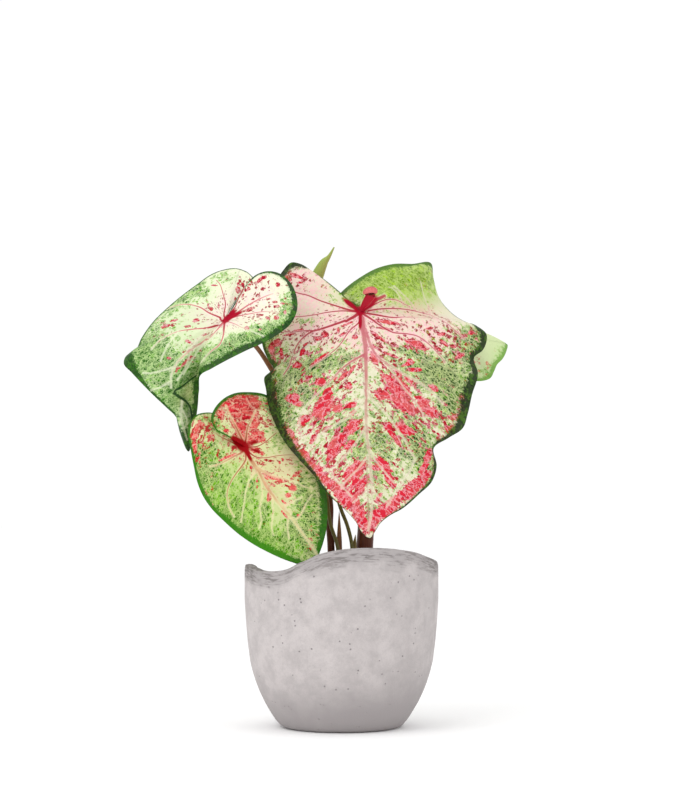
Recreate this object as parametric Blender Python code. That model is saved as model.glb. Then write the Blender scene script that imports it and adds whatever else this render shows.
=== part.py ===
"""Potted caladium: heart-shaped leaves on arching stalks, standing in soil in a cast pot with a wavy rim.

Lengths are in millimetres up to the moment a mesh is made. The origin is the middle of the pot's base,
+Z is up and -Y is the front. A leaf is drawn as it looks from the front: each of its points has a place
across and up on the upright plane through the pot's axis, and a distance back from that plane.
"""

import math

import bmesh
import bpy
import numpy as np
from mathutils import Vector

MM = 0.001

# The pot, a cast shell: outer radius by height
POT_SIDE = (
    (0, 39.5), (3, 42.4), (10, 47.4), (17, 51.5), (30, 57.2), (44, 61.2), (57, 62.9), (71, 64.1), (85, 65.0),
)
POT_WALL = 7.0
POT_FLOOR = 9.0
POT_SIDES = 60
# Rim height by turn from the front, in degrees, positive to the right
RIM = (
    (-178, 110.0), (-155, 105.5), (-130, 101.5), (-108, 105.0), (-88, 108.5), (-68, 107.0), (-48, 105.0),
    (-25, 111.0), (-5, 118.5), (15, 120.5), (42, 118.5), (62, 114.3), (85, 110.3), (110, 107.3), (145, 112.0),
)

# The soil and the stalks' holes in it
SOIL_TOP = 90.0
SOIL_MOUND = 3.0
SOIL_SIDES = 36
HOLE_DEPTH = 22.0
HOLE_SIDES = 12
CLEARANCE = 0.35
SOIL_INSET = POT_WALL + CLEARANCE + 0.15

# The leaves and stalks
BLADE_THICK = 1.0
RIB_RAISE = 0.9
BLADE_ROWS = 7
STALK_SIDES = 8

# The eye that the drawn places are seen from
EYE_ACROSS = 5.7
EYE_UP = 148.0
EYE_BACK = 1300.0

# A leaf has its junction with the stalk, the direction in which its face swells, and spokes from the
# junction to the margin, from one side of the notch round to the other. A spoke is (across, up, back,
# swell) and, where it bends sideways, also how far its middle is pulled across and up.
# ribs are the spokes that carry a main rib, as (spoke, share of its length).
FRONT_LEAF = {
    "finish": "rosy_blade",
    "junction": (13, 278, -28),
    "crown": (0, -1, 0.1),
    "spokes": (
        (-20, 306, -5, 5, 1.5, 1.5), (-28, 311, -2, 4), (-34, 312, 0, 4), (-40, 306, 1, 5),
        (-46, 294, 1, 6), (-51, 280, 0, 8), (-54, 266, -2, 9), (-53, 254, -5, 10), (-49, 245, -9, 10),
        (-46, 239.5, -12, 10), (-52, 234, -13, 10), (-51, 226, -15, 10), (-49, 214, -19, 10),
        (-45, 203, -24, 10), (-38, 190, -30, 9), (-29, 179, -36, 8), (-18, 167, -42, 7),
        (-8, 154, -48, 6), (3, 144, -52, 6), (10, 136, -55, 6), (14, 129, -58, 6), (19, 125.5, -60, 6),
        (22.5, 130, -58, 6), (26, 135.5, -56, 6), (32, 140.5, -53, 6), (41, 145.5, -50, 6),
        (52, 155, -46, 7), (61, 164, -41, 8), (64, 174, -37, 9), (62, 186, -33, 9), (72, 193, -28, 9),
        (82, 200, -25, 9), (85, 209, -22, 10), (88, 222, -18, 10), (92, 237, -14, 10),
        (89.5, 247.5, -12, 10), (95.5, 252.5, -10, 9), (98, 263, -8, 8), (91, 269, -4, 6),
        (84, 271.5, 6, 4), (73, 279, 22, 2, 12, -6), (65, 290, 34, 2, 22, -4), (62, 302, 37, 3, 20, 2),
        (60.5, 311.5, 30, 3, 8, 4), (48, 311, 23, 3, 2, 2), (36, 311, 17, 3), (24, 308, 11, 3),
        (13, 302, 5, 3, 1, 0), (4, 295.5, 0, 1, 1, 1), (-1.5, 290, -4, -2, 3, 2.5),
        (-4, 285, -6, -4, 3.5, 3.8),
    ),
    "ribs": (
        (3, 0.75), (6, 0.85), (10, 0.85), (14, 0.6), (21, 0.97), (28, 0.6), (33, 0.85), (37, 0.9),
        (44, 0.75),
    ),
}
LEFT_LEAF = {
    "finish": "green_blade",
    "junction": (-78.5, 273, -28),
    "crown": (0.1, -0.8, 0.5),
    "spokes": (
        (-59, 301, -14, -5, -5, 2), (-64, 305.5, -10, -1, -3, 0), (-72, 308, -6, 2), (-80, 307, -3, 3),
        (-88, 304, 0, 4), (-98, 297, 1, 5), (-108, 289.5, 1, 6), (-118, 281, 0, 7), (-128, 271, -3, 8),
        (-135, 261, -7, 9), (-140, 251.5, -11, 10, -3, 1), (-145.5, 248.5, -14, 11, -4, 2),
        (-147, 243, -18, 12, -6, 3), (-142, 237.5, -20, 14, -9, 3), (-134, 229, -21, 16, -14, 4),
        (-126, 221, -21, 18, -18, 6), (-118, 213.5, -20, 20, -23, 7), (-111.5, 207, -19, 22, -28, 8),
        (-109, 197, -17, 24, -30, 9), (-103, 184, -15, 25, -34, 8), (-100.5, 194, -13, 24, -29.5, 4),
        (-99, 203, -12, 22, -23, 2.5), (-97.5, 212, -13, 20, -18, 1), (-96.5, 224, -18, 16, -11.5, -0.5),
        (-95.5, 235.5, -34, 12, -7, -2), (-88, 240, -45, 9, -4, 1), (-77, 246, -48, 8),
        (-64, 252.5, -50, 7), (-52, 258, -50, 6), (-42, 264, -48, 5), (-34, 271, -46, 4),
        (-30, 281, -44, 4), (-31, 291, -42, 4), (-36, 300, -39, 3), (-43, 305, -37, 3),
        (-51, 306, -35, 3), (-58, 303.5, -33, 3, 0.5, 0), (-64, 298, -32, 4),
    ),
    "ribs": ((2, 0.7), (5, 0.85), (9, 0.85), (14, 0.85), (19, 0.95), (26, 0.8), (30, 0.8), (34, 0.8)),
}
LOW_LEAF = {
    "finish": "mottled_blade",
    "junction": (-65, 187, -30),
    "crown": (0, -1, 0.1),
    "spokes": (
        (-81, 207, -22, -5, -3.5, -3.4), (-87.5, 210, -21, -1, -3.5, -4), (-93, 210, -22, 1, -2.3, -4),
        (-98, 208.5, -24, 3, -1, -3.7), (-102, 204, -26, 4, 0, -2.2), (-103.5, 197, -28, 5, 0, -0.7),
        (-102, 187, -30, 6), (-99.5, 174, -32, 7), (-97, 163, -34, 7), (-93, 153.5, -36, 7),
        (-87, 145, -38, 7), (-79, 137, -40, 7), (-70, 129, -42, 7), (-60, 122, -45, 6),
        (-49, 116, -47, 6), (-39, 111.5, -47, 6), (-29, 108, -46, 6), (-20, 104.5, -45, 6),
        (-16.5, 106, -44, 6), (-15.5, 113, -44, 6), (-12.5, 122, -42, 6), (-10, 133, -39, 6),
        (-9.5, 143, -35, 6), (-10, 153, -30, 5), (-13, 165, -23, 5), (-18, 179, -15, 5),
        (-25, 193, -9, 5), (-33, 206, -7, 5), (-42, 217, -9, 5), (-52, 222.5, -14, 4), (-63, 224, -21, 4),
        (-73, 223, -28, 4), (-81, 218.5, -34, 4, 2.4, 1), (-86, 212.5, -38, 4, 3.9, 2.5),
        (-88, 207, -41, 4, 4.2, 3.9), (-87, 202, -42, 4, 4, 4.2), (-84, 197.5, -42, 4, 3.5, 3.5),
    ),
    "ribs": (
        (3, 0.8), (6, 0.85), (9, 0.85), (12, 0.7), (17, 0.95), (21, 0.7), (25, 0.85), (28, 0.85), (32, 0.8),
    ),
}
RIGHT_LEAF = {
    "finish": "pale_blade",
    "junction": (58, 267, 22),
    "crown": (0.15, -0.2, 1),
    "spokes": (
        (43, 266, 12, 2), (35, 257, 6, 3), (36, 245, 0, 5), (44, 237, -4, 6), (55, 232, -6, 7),
        (68, 230, -5, 8), (80, 230, -1, 8), (90, 231.5, 3, 8), (96, 231.8, 6, 8), (100.5, 233.5, 9, 8),
        (103, 238, 13, 8), (105, 242.5, 18, 8), (108.8, 246.5, 24, 8), (111.3, 251.5, 31, 9),
        (112.2, 256, 38, 11, 2, 0), (108, 254, 48, 8), (100, 248, 58, 8), (89, 243, 67, 8),
        (76, 240, 73, 8), (62, 239, 75, 8), (49, 241, 71, 7), (39, 246, 62, 6), (34, 254, 51, 4),
        (38, 262, 41, 3), (46, 267, 34, 2),
    ),
    "ribs": ((2, 0.8), (5, 0.8), (9, 0.85), (14, 0.95), (17, 0.85), (20, 0.8), (22, 0.8)),
}
# The front leaf's notch is rolled up beside the junction, as a small funnel
CURL = {
    "line": (
        (13.2, 279.3, -27.3), (14.5, 282, -31.5), (17, 286, -34.5), (19, 290, -35), (19.6, 293.5, -32.5),
        (19.8, 295.5, -30),
    ),
    "radii": (1.1, 2.2, 3.3, 4.2, 4.4, 2.0),
}

# A stalk's line, from the pot's rim up, as (across, up, back), its radius at the soil and at the leaf,
# and how it thins on the way: above 1 it stays thick low down. It ends short of its leaf's junction, or of
# its line's last place, by so much that it stays clear of the blade.
FRONT_STALK = {
    "line": (
        (15.5, 118, -4), (16.3, 132, -3.5), (17.5, 170, 0), (18.5, 210, 1), (18, 245, -4), (15.5, 265, -13),
    ),
    "radii": (6.5, 2.1), "thinning": 1.2, "short": 1.9, "finish": "brown_stalk",
}
LEFT_STALK = {
    "line": (
        (-7, 118, -12), (-8, 134, -10), (-8, 150, -6), (-13, 178, 0), (-28, 207, 5), (-45, 235.5, 3),
        (-57.5, 254.5, -2), (-70, 265, -12),
    ),
    "radii": (2.9, 1.4), "thinning": 0.8, "short": 1.3, "finish": "brown_stalk",
}
LOW_STALK = {
    "line": (
        (-2.4, 118, -21), (-7.7, 136, -18), (-9.8, 153, -14), (-14, 168, -8), (-28, 183, -2), (-46, 190, -4),
        (-58, 188, -13),
    ),
    "radii": (1.3, 1.1), "thinning": 1.0, "short": 1.9, "finish": "olive_stalk",
}
RIGHT_STALK = {
    "line": (
        (16, 118, 9), (18, 140, 10), (24, 175, 14), (34, 212, 20), (46, 242, 24), (54, 257, 25),
    ),
    "radii": (3.0, 1.6), "thinning": 1.0, "short": 1.8, "finish": "brown_stalk",
}
ROLLED_STALK = {
    "line": (
        (7.2, 118, -17), (4.2, 133, -13), (-1.3, 148, -8), (-7, 172, -2), (-14, 205, 5), (-23, 235, 8),
        (-27.5, 252, 8),
    ),
    "radii": (1.25, 1.25), "thinning": 1.0, "short": 0.4, "finish": "olive_stalk",
}
ROLLED_LEAF = {
    "line": (
        (-28, 262, 8), (-24, 278, 10), (-18.5, 296, 11), (-15.5, 304, 11), (-12, 311.5, 10), (-8.5, 316, 9),
        (-5, 322.5, 8),
    ),
    "radii": (2.4, 4.0, 5.2, 4.8, 3.4, 1.6, 0.5),
    "turns": 1.3, "closing": 0.62, "around": 16, "along": 12, "thick": 0.7,
}
# Pointed sheaths beside the stalks' feet: foot, tip and greatest radius
BUD_SHEATH = {"foot": (-1.5, 118, -15), "tip": (-1.6, 143.5, -15.5), "radius": 1.9, "finish": "brown_stalk"}
STALK_SHEATH = {"foot": (8.6, 118, -11.5), "tip": (9.4, 128, -11), "radius": 1.6, "finish": "olive_stalk"}
SHEATH_SIDES = 8

# Colour, roughness and metallic value of each kind of piece
FINISHES = {
    "concrete": ((0.55, 0.52, 0.51), 0.85, 0.0),
    "soil": ((0.05, 0.035, 0.025), 0.95, 0.0),
    "rosy_blade": ((0.68, 0.34, 0.29), 0.45, 0.0),
    "green_blade": ((0.36, 0.45, 0.19), 0.45, 0.0),
    "mottled_blade": ((0.5, 0.3, 0.14), 0.45, 0.0),
    "pale_blade": ((0.58, 0.64, 0.4), 0.45, 0.0),
    "young_blade": ((0.4, 0.42, 0.16), 0.4, 0.0),
    "brown_stalk": ((0.09, 0.045, 0.02), 0.4, 0.0),
    "olive_stalk": ((0.2, 0.16, 0.06), 0.4, 0.0),
}


def clear_scene():
    for obj in list(bpy.data.objects):
        bpy.data.objects.remove(obj, do_unlink=True)


def finish(name):
    """The Principled BSDF material of one kind of piece."""
    made = bpy.data.materials.get(name)
    if made is None:
        colour, roughness, metallic = FINISHES[name]
        made = bpy.data.materials.new(name)
        made.use_nodes = True
        shader = made.node_tree.nodes["Principled BSDF"]
        shader.inputs["Base Color"].default_value = (*colour, 1.0)
        shader.inputs["Roughness"].default_value = roughness
        shader.inputs["Metallic"].default_value = metallic
    return made


def add_piece(name, points, faces, finish_name):
    """A smooth-shaded object of these points, in millimetres, and faces."""
    mesh = bpy.data.meshes.new(name)
    mesh.from_pydata([Vector(p) * MM for p in points], [], faces)
    shape = bmesh.new()
    shape.from_mesh(mesh)
    bmesh.ops.recalc_face_normals(shape, faces=shape.faces)
    shape.to_mesh(mesh)
    shape.free()
    mesh.shade_smooth()
    mesh.set_sharp_from_angle(angle=math.radians(50))
    mesh.materials.append(finish(finish_name))
    piece = bpy.data.objects.new(name, mesh)
    bpy.context.scene.collection.objects.link(piece)
    return piece


def combine(piece, other, operation):
    """Cut the other object from the piece, or join it on, and leave the other one out of the part."""
    change = piece.modifiers.new(other.name, "BOOLEAN")
    change.operation = operation
    change.object = other
    change.use_self = True
    other.hide_render = True
    other.display_type = "WIRE"


def seen(across, up, back):
    """The point this far back that looks to be at that place on the plane through the pot's axis."""
    reach = (EYE_BACK + back) / EYE_BACK
    return np.array((EYE_ACROSS + (across - EYE_ACROSS) * reach, back, EYE_UP + (up - EYE_UP) * reach))


def unit(vectors):
    return vectors / np.linalg.norm(vectors, axis=-1, keepdims=True).clip(1e-9)


def hermite(start, end, leaving, arriving, share):
    """The place on a cubic from start to end, with these slopes over the whole step."""
    cube, square = share**3, share**2
    return (
        (2 * cube - 3 * square + 1) * start + (cube - 2 * square + share) * leaving
        + (3 * square - 2 * cube) * end + (cube - square) * arriving
    )


def through(knots, steps_between):
    """A smooth curve through the knots, with that many steps between two."""
    knots = np.asarray(knots, float)
    slopes = np.gradient(knots, axis=0)
    share = np.linspace(0, 1, steps_between, endpoint=False)[:, None]
    curve = [
        hermite(knots[i], knots[i + 1], slopes[i], slopes[i + 1], share) for i in range(len(knots) - 1)
    ]
    return np.vstack(curve + [knots[-1:]])


def graph(knots, place):
    """The height at a place of the smooth line through knots of (place, height)."""
    places, heights = np.array(knots, float).T
    slopes = np.gradient(heights, places)
    k = int(np.clip(np.searchsorted(places, place) - 1, 0, len(places) - 2))
    gap = places[k + 1] - places[k]
    return hermite(heights[k], heights[k + 1], gap * slopes[k], gap * slopes[k + 1], (place - places[k]) / gap)


def blade_surface(leaf):
    """The blade's middle surface, as points by column and row; row 0 is the junction in every column."""
    junction = seen(*leaf["junction"])
    crown = unit(np.array(leaf["crown"], float))
    share = np.linspace(0, 1, BLADE_ROWS + 1)[:, None]
    columns = []
    for across, up, back, swell, *aside in leaf["spokes"]:
        pull_across, pull_up = aside or (0, 0)
        margin = seen(across, up, back)
        control = (junction + margin) / 2 + swell * crown + np.array((pull_across, 0, pull_up))
        columns.append((1 - share) ** 2 * junction + 2 * share * (1 - share) * control + share**2 * margin)
    return np.array(columns)


def surface_normals(surface, crown):
    """The direction that each point's upper side faces; at the junction that is the crown's."""
    normals = np.zeros_like(surface)
    corner, outer = surface[:-1, :-1], surface[:-1, 1:]
    opposite, beside = surface[1:, 1:], surface[1:, :-1]
    first = np.cross(outer - corner, opposite - corner)
    second = np.cross(opposite - corner, beside - corner)
    normals[:-1, :-1] += first + second
    normals[:-1, 1:] += first
    normals[1:, 1:] += first + second
    normals[1:, :-1] += second
    normals[:, 0] = crown
    return unit(normals)


def rib_lift(leaf, columns):
    """How far the underside stands out at each column and row along the main ribs."""
    lift = np.zeros((columns, BLADE_ROWS + 1))
    share = np.linspace(0, 1, BLADE_ROWS + 1)
    for spoke, reach in leaf["ribs"]:
        lift[spoke] = RIB_RAISE * (1 - share / reach).clip(0) ** 0.7
    lift[:, 0] = RIB_RAISE / 3
    return lift


def build_blade(name, leaf):
    surface = blade_surface(leaf)
    columns, rows = surface.shape[:2]
    normals = surface_normals(surface, leaf["crown"])
    half = BLADE_THICK / 2
    upper = surface + half * normals
    lower = surface - (half + rib_lift(leaf, columns))[..., None] * normals
    points, number = [], {}
    for side, layer in enumerate((upper, lower)):
        for column in range(columns):
            for row in range(rows):
                if row == 0 and column > 0:
                    number[side, column, 0] = number[side, 0, 0]
                    continue
                number[side, column, row] = len(points)
                points.append(layer[column, row])
    faces = []
    for side in (0, 1):
        for column in range(columns - 1):
            for row in range(rows - 1):
                a, b = number[side, column, row], number[side, column, row + 1]
                c, d = number[side, column + 1, row + 1], number[side, column + 1, row]
                patch = [(a, b, c)] if row == 0 else [(a, b, c), (a, c, d)]
                faces += patch if side == 0 else [face[::-1] for face in patch]
    border = [(0, row) for row in range(rows)]
    border += [(column, rows - 1) for column in range(1, columns)]
    border += [(columns - 1, row) for row in range(rows - 2, 0, -1)]
    for here, there in zip(border, border[1:] + border[:1]):
        a, b = number[0, *here], number[0, *there]
        c, d = number[1, *there], number[1, *here]
        faces += [(b, a, d), (b, d, c)]
    return add_piece(name, points, faces, leaf["finish"])


def tube(name, line, radii, sides, finish_name):
    """A closed tube round the line, with a radius at each of its points."""
    ahead = unit(np.gradient(line, axis=0))
    side = np.array((1.0, 0, 0))
    points = []
    turns = 2 * np.pi * np.arange(sides) / sides
    for centre, direction, radius in zip(line, ahead, radii):
        side = unit(side - side.dot(direction) * direction)
        other = np.cross(direction, side)
        points += [centre + radius * (math.cos(t) * side + math.sin(t) * other) for t in turns]
    faces = []
    for ring in range(len(line) - 1):
        for k in range(sides):
            a, b = ring * sides + k, ring * sides + (k + 1) % sides
            faces.append((a, b, b + sides, a + sides))
    faces.append(tuple(range(sides))[::-1])
    faces.append(tuple(range((len(line) - 1) * sides, len(line) * sides)))
    return add_piece(name, points, faces, finish_name)


def planted(place):
    """The start of a line that stands upright in its hole below a place at the rim."""
    foot = seen(*place)
    return [np.array((foot[0], foot[1], height)) for height in (SOIL_TOP - HOLE_DEPTH, SOIL_TOP + 4)] + [foot]


def build_stalk(name, stalk, leaf):
    """A stalk from its hole in the soil up to its leaf, where it tapers off just short of the blade."""
    line = planted(stalk["line"][0]) + [seen(*place) for place in stalk["line"][1:]]
    thick, thin = stalk["radii"]
    end = seen(*leaf["junction"] if "junction" in leaf else leaf["line"][0])
    line.append(end + stalk["short"] * unit(line[-1] - end))
    line = through(line, 4)
    steps = np.linalg.norm(np.diff(line, axis=0), axis=1)
    share = np.concatenate([[0], np.cumsum(steps)]) / steps.sum()
    radii = thick + (thin - thick) * share ** stalk["thinning"]
    radii[-3:] *= (0.95, 0.75, 0.4)
    return tube(name, line, radii, STALK_SIDES, stalk["finish"])


def build_rolled_leaf(name, leaf):
    """A young leaf, still rolled: a thin sheet wound round its own line, tightening inwards."""
    steps = leaf["along"]
    places = np.array([[*seen(*place), radius] for place, radius in zip(leaf["line"], leaf["radii"])])
    curve = through(places, 6)
    picks = np.linspace(0, len(curve) - 1, steps + 1).round().astype(int)
    line, radii = curve[picks, :3], curve[picks, 3]
    ahead = unit(np.gradient(line, axis=0))
    side = np.array((0.0, 1.0, 0))
    around = leaf["around"]
    outer, inner = [], []
    for centre, direction, radius in zip(line, ahead, radii):
        side = unit(side - side.dot(direction) * direction)
        other = np.cross(direction, side)
        for k in range(around + 1):
            turn = 2 * math.pi * leaf["turns"] * k / around
            spoke = math.cos(turn) * side + math.sin(turn) * other
            reach = radius * (1 - (1 - leaf["closing"]) * k / around)
            outer.append(centre + reach * spoke)
            inner.append(centre + max(reach - leaf["thick"], 0.12 * reach) * spoke)
    count = around + 1
    shift = len(outer)
    faces = []
    for ring in range(steps):
        for k in range(around):
            a, b = ring * count + k, ring * count + k + 1
            faces.append((a, b, b + count, a + count))
            faces.append((a + count + shift, b + count + shift, b + shift, a + shift))
        for k in (0, around):
            a = ring * count + k
            faces.append((a, a + count, a + count + shift, a + shift))
    for ring in (0, steps):
        for k in range(around):
            a, b = ring * count + k, ring * count + k + 1
            faces.append((a, b, b + shift, a + shift))
    return add_piece(name, outer + inner, faces, "young_blade")


def build_sheath(name, sheath):
    """A pointed sheath that stands in the soil."""
    line = through(planted(sheath["foot"]) + [seen(*sheath["tip"])], 5)
    start, end = line[10, 2], line[-1, 2]
    share = ((line[:, 2] - start) / (end - start)).clip(0, 1)
    return tube(name, line, sheath["radius"] * (1 - 0.93 * share**1.6), SHEATH_SIDES, sheath["finish"])


def rim_height(turn):
    """The rim's height at a turn from the front, in degrees from -180 to 180."""
    before = [(place - 360, height) for place, height in RIM[-3:]]
    after = [(place + 360, height) for place, height in RIM[:3]]
    return graph(before + list(RIM) + after, turn)


def pot_profile(rim):
    """The wall's section at one turn, from the edge of the base out, up, over the rim and down inside."""
    lip = POT_WALL / 2
    top_radius = POT_SIDE[-1][1]
    profile = [(POT_SIDE[0][1] - 3, 0), (POT_SIDE[0][1] + 0.6, 0.7)]
    profile += [(radius, height) for height, radius in POT_SIDE[1:]]
    profile += [(top_radius, rim - lip)]
    for bend in (45, 90, 135):
        angle = math.radians(bend)
        profile.append((top_radius - lip + lip * math.cos(angle), rim - lip + lip * math.sin(angle)))
    profile += [(top_radius - POT_WALL, rim - lip)]
    profile += [(radius - POT_WALL, height) for height, radius in POT_SIDE[:3:-1]]
    profile += [(graph(POT_SIDE, 20) - POT_WALL, 20), (graph(POT_SIDE, POT_FLOOR) - POT_WALL - 2, POT_FLOOR)]
    return profile


def build_pot():
    points, faces = [], []
    for k in range(POT_SIDES):
        degrees = 360 * k / POT_SIDES - 180
        turn = math.radians(degrees)
        section = pot_profile(rim_height(degrees))
        points += [(radius * math.sin(turn), -radius * math.cos(turn), height) for radius, height in section]
    ring = len(section)
    bottom, floor = len(points), len(points) + 1
    points += [(0, 0, 0), (0, 0, POT_FLOOR)]
    for k in range(POT_SIDES):
        here, there = k * ring, (k + 1) % POT_SIDES * ring
        faces += [(here + i, there + i, there + i + 1, here + i + 1) for i in range(ring - 1)]
        faces += [(bottom, there, here), (floor, here + ring - 1, there + ring - 1)]
    return add_piece("pot", points, faces, "concrete")


def build_soil(feet):
    """The soil: a plug that fills the pot, mounded round the stalks, with a plain hole for each of them."""
    profile = [(graph(POT_SIDE, POT_FLOOR) - POT_WALL - 3.2, POT_FLOOR + CLEARANCE)]
    profile += [(graph(POT_SIDE, height) - SOIL_INSET, height) for height in (20, 30, 44, 57, 71)]
    shoulder = SOIL_TOP - SOIL_MOUND
    profile += [(POT_SIDE[-1][1] - SOIL_INSET, shoulder), (42, shoulder + 1), (26, SOIL_TOP)]
    points, faces = [], []
    for k in range(SOIL_SIDES):
        turn = 2 * math.pi * k / SOIL_SIDES
        points += [(r * math.sin(turn), -r * math.cos(turn), h) for r, h in profile]
    ring = len(profile)
    for k in range(SOIL_SIDES):
        here, there = k * ring, (k + 1) % SOIL_SIDES * ring
        faces += [(here + i, there + i, there + i + 1, here + i + 1) for i in range(ring - 1)]
    faces.append([k * ring for k in range(SOIL_SIDES)][::-1])
    faces.append([k * ring + ring - 1 for k in range(SOIL_SIDES)])
    soil = add_piece("soil", points, faces, "soil")
    for n, (place, radius) in enumerate(feet):
        foot = seen(*place)
        middle = np.array((foot[0], foot[1], SOIL_TOP))
        reach = np.array((0, 0, HOLE_DEPTH + CLEARANCE))
        wide = (radius + CLEARANCE) / math.cos(math.pi / HOLE_SIDES)
        line = np.array((middle - reach, middle + reach))
        cutter = tube(f"hole_cutter_{n}", line, (wide, wide), HOLE_SIDES, "soil")
        combine(soil, cutter, "DIFFERENCE")
    return soil


def main():
    clear_scene()
    build_pot()
    stalks = {
        "front": (FRONT_STALK, FRONT_LEAF), "left": (LEFT_STALK, LEFT_LEAF), "low": (LOW_STALK, LOW_LEAF),
        "right": (RIGHT_STALK, RIGHT_LEAF), "rolled": (ROLLED_STALK, ROLLED_LEAF),
    }
    feet = [(stalk["line"][0], stalk["radii"][0]) for stalk, _ in stalks.values()]
    feet += [(sheath["foot"], sheath["radius"]) for sheath in (BUD_SHEATH, STALK_SHEATH)]
    build_soil(feet)
    blades = {}
    for name, (stalk, leaf) in stalks.items():
        build_stalk(f"{name}_leaf_stalk", stalk, leaf)
        build = build_blade if "spokes" in leaf else build_rolled_leaf
        blades[name] = build(f"{name}_leaf_blade", leaf)
    curl_line = through([seen(*place) for place in CURL["line"]], 1)
    combine(blades["front"], tube("curl_maker", curl_line, CURL["radii"], 10, "rosy_blade"), "UNION")
    build_sheath("bud_sheath", BUD_SHEATH)
    build_sheath("stalk_sheath", STALK_SHEATH)


main()
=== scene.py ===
"""Potted caladium: the finished leaves, stalks, soil and pot, made around the packed model.

Lengths are in millimetres up to the moment a mesh is made, and the sizes that a user can change are in
metres. +Z is up and -Y is the front. A leaf is drawn as it looks from the front: each of its places is
across and up on the upright plane through the pot's axis, and a margin's place is also a distance back.
"""

import math

import bmesh
import bpy
import numpy as np
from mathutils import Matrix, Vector
from mathutils.kdtree import KDTree


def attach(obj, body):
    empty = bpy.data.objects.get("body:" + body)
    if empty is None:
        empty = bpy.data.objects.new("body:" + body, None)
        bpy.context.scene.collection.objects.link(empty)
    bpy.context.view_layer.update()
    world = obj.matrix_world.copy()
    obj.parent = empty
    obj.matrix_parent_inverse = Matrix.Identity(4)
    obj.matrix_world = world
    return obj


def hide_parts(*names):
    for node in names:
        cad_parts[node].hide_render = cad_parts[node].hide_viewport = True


bl_info = {
    "name": "Potted Caladium",
    "version": (1, 0, 0),
    "blender": (4, 5, 0),
    "location": "3D View > Sidebar > Caladium",
    "description": "Makes a caladium in a cast pot: variegated leaves, stalks, soil and concrete",
    "category": "Add Mesh",
}

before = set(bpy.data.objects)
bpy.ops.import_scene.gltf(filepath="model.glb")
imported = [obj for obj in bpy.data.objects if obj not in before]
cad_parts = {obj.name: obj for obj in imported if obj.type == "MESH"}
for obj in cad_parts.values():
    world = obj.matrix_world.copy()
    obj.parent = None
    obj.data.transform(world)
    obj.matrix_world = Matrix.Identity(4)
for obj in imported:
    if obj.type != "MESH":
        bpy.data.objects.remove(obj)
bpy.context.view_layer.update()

MM = 0.001
SEED = 7

# The eye that the drawn places are seen from
EYE_ACROSS = 5.7
EYE_UP = 148.0
EYE_BACK = 1300.0
AIM = (5.7, 0.0, 218.7)
LENS = 86.76

# Each light's place and width in metres, and its share of the key light's power
LIGHTS = {"key_light": ((-0.9, -1.1, 1.5), 1.2, 1.0), "fill_light": ((1.3, -0.9, 0.9), 1.6, 0.25)}
LIT_HEIGHT = 0.17

# The pot's outer radius by height, its rim's height by turn from the front, and the wall
POT_SIDE = (
    (0, 39.5), (3, 42.4), (10, 47.4), (17, 51.5), (30, 57.2), (44, 61.2), (57, 62.9), (71, 64.1), (85, 65.0),
)
RIM = (
    (-178, 110.0), (-155, 105.5), (-130, 101.5), (-108, 105.0), (-88, 108.5), (-68, 107.0), (-48, 105.0),
    (-25, 111.0), (-5, 118.5), (15, 120.5), (42, 118.5), (62, 114.3), (85, 110.3), (110, 107.3), (145, 112.0),
)
RIM_LOW = 95.0
RIM_HIGH = 125.0
RIM_LEVEL = 110.0
POT_WALL = 7.0
POT_FLOOR = 9.0
# The rounding at the foot, out from its edge and up, and over the rim, inwards and down
FOOT_ROUND = ((-3, 0), (-0.4, 0.5), (1.2, 1.4))
RIM_ROUND = (
    (0.1, 1.6), (0.5, 0.6), (1.4, 0.1), (3.5, 0), (POT_WALL - 1.4, 0.2), (POT_WALL - 0.4, 0.9),
    (POT_WALL, 2.4),
)
# The heights of the section's points: outside, on the straight part outside and inside, and inside
OUTER_HEIGHTS = (3, 6, 10, 17, 24, 30, 37, 44, 57, 71, 80)
STRAIGHT_HEIGHTS = (85, 90, 95, 100, 104)
STRAIGHT_INSIDE = (104, 95)
INNER_HEIGHTS = (85, 71, 57, 44, 30, 20)
# A ring under the base and on the floor, and how much smaller the floor is than the wall above it
BASE_MIDDLE = 20.0
INNER_CORNER = 2.0
# Points this close become one; the pot's mesh has this many points round it and along its section
POT_WELD = 0.02
POT_ROUND = 241
POT_ALONG = 150

# The soil
SOIL_TOP = 90.0
SOIL_MOUND = 3.0
SOIL_REACH = 58.0
# Its gap to the wall and to the floor, its rounding there, and the heights of its rings
SOIL_GAP = 0.5
SOIL_FOOT_GAP = 0.4
SOIL_CORNER = 3.2
SOIL_HEIGHTS = (20, 30, 44, 57, 71)
# How far its top rises and falls, and its points round it and rings on its top
SOIL_ROUGH = 5.0
SOIL_ROUND = 180
SOIL_RINGS = 48
HOLE_DEPTH = 22.0

# How far a stalk stands upright over the soil, and what share of its radius is left this near to its leaf
STRAIGHT_UP = 4.0
STALK_END = ((0, 1.2, 3, 6), (0.45, 0.75, 0.93, 1))
SHEATH_POINT = 0.07
# How far apart the rings on a stalk and on a sheath are
STALK_STEP = 1.5
SHEATH_STEP = 0.8

# The patterns on a blade: how often cells and flecks come across and along the veins, in each millimetre,
# and how far their edges wander
SMALL_CELL = (0.36, 0.5, 1.0)
LARGE_CELL = (0.13, 0.22, 1.0)
STREAK = (0.34, 0.8, 1.0)
RAGGED = 2.6
# What a skin's node group puts out, and the grain of the two minerals
SKIN = {"Color": "Color", "Roughness": "Float", "Height": "Float"}
CONCRETE = {"Cloud size": 12.0, "Cloud depth": 0.5, "Pit size": 3.0, "Pits": 0.13}
EARTH = {"Cloud size": 5.0, "Cloud depth": 0.5, "Pit size": 2.4, "Pits": 0.1}

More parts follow.
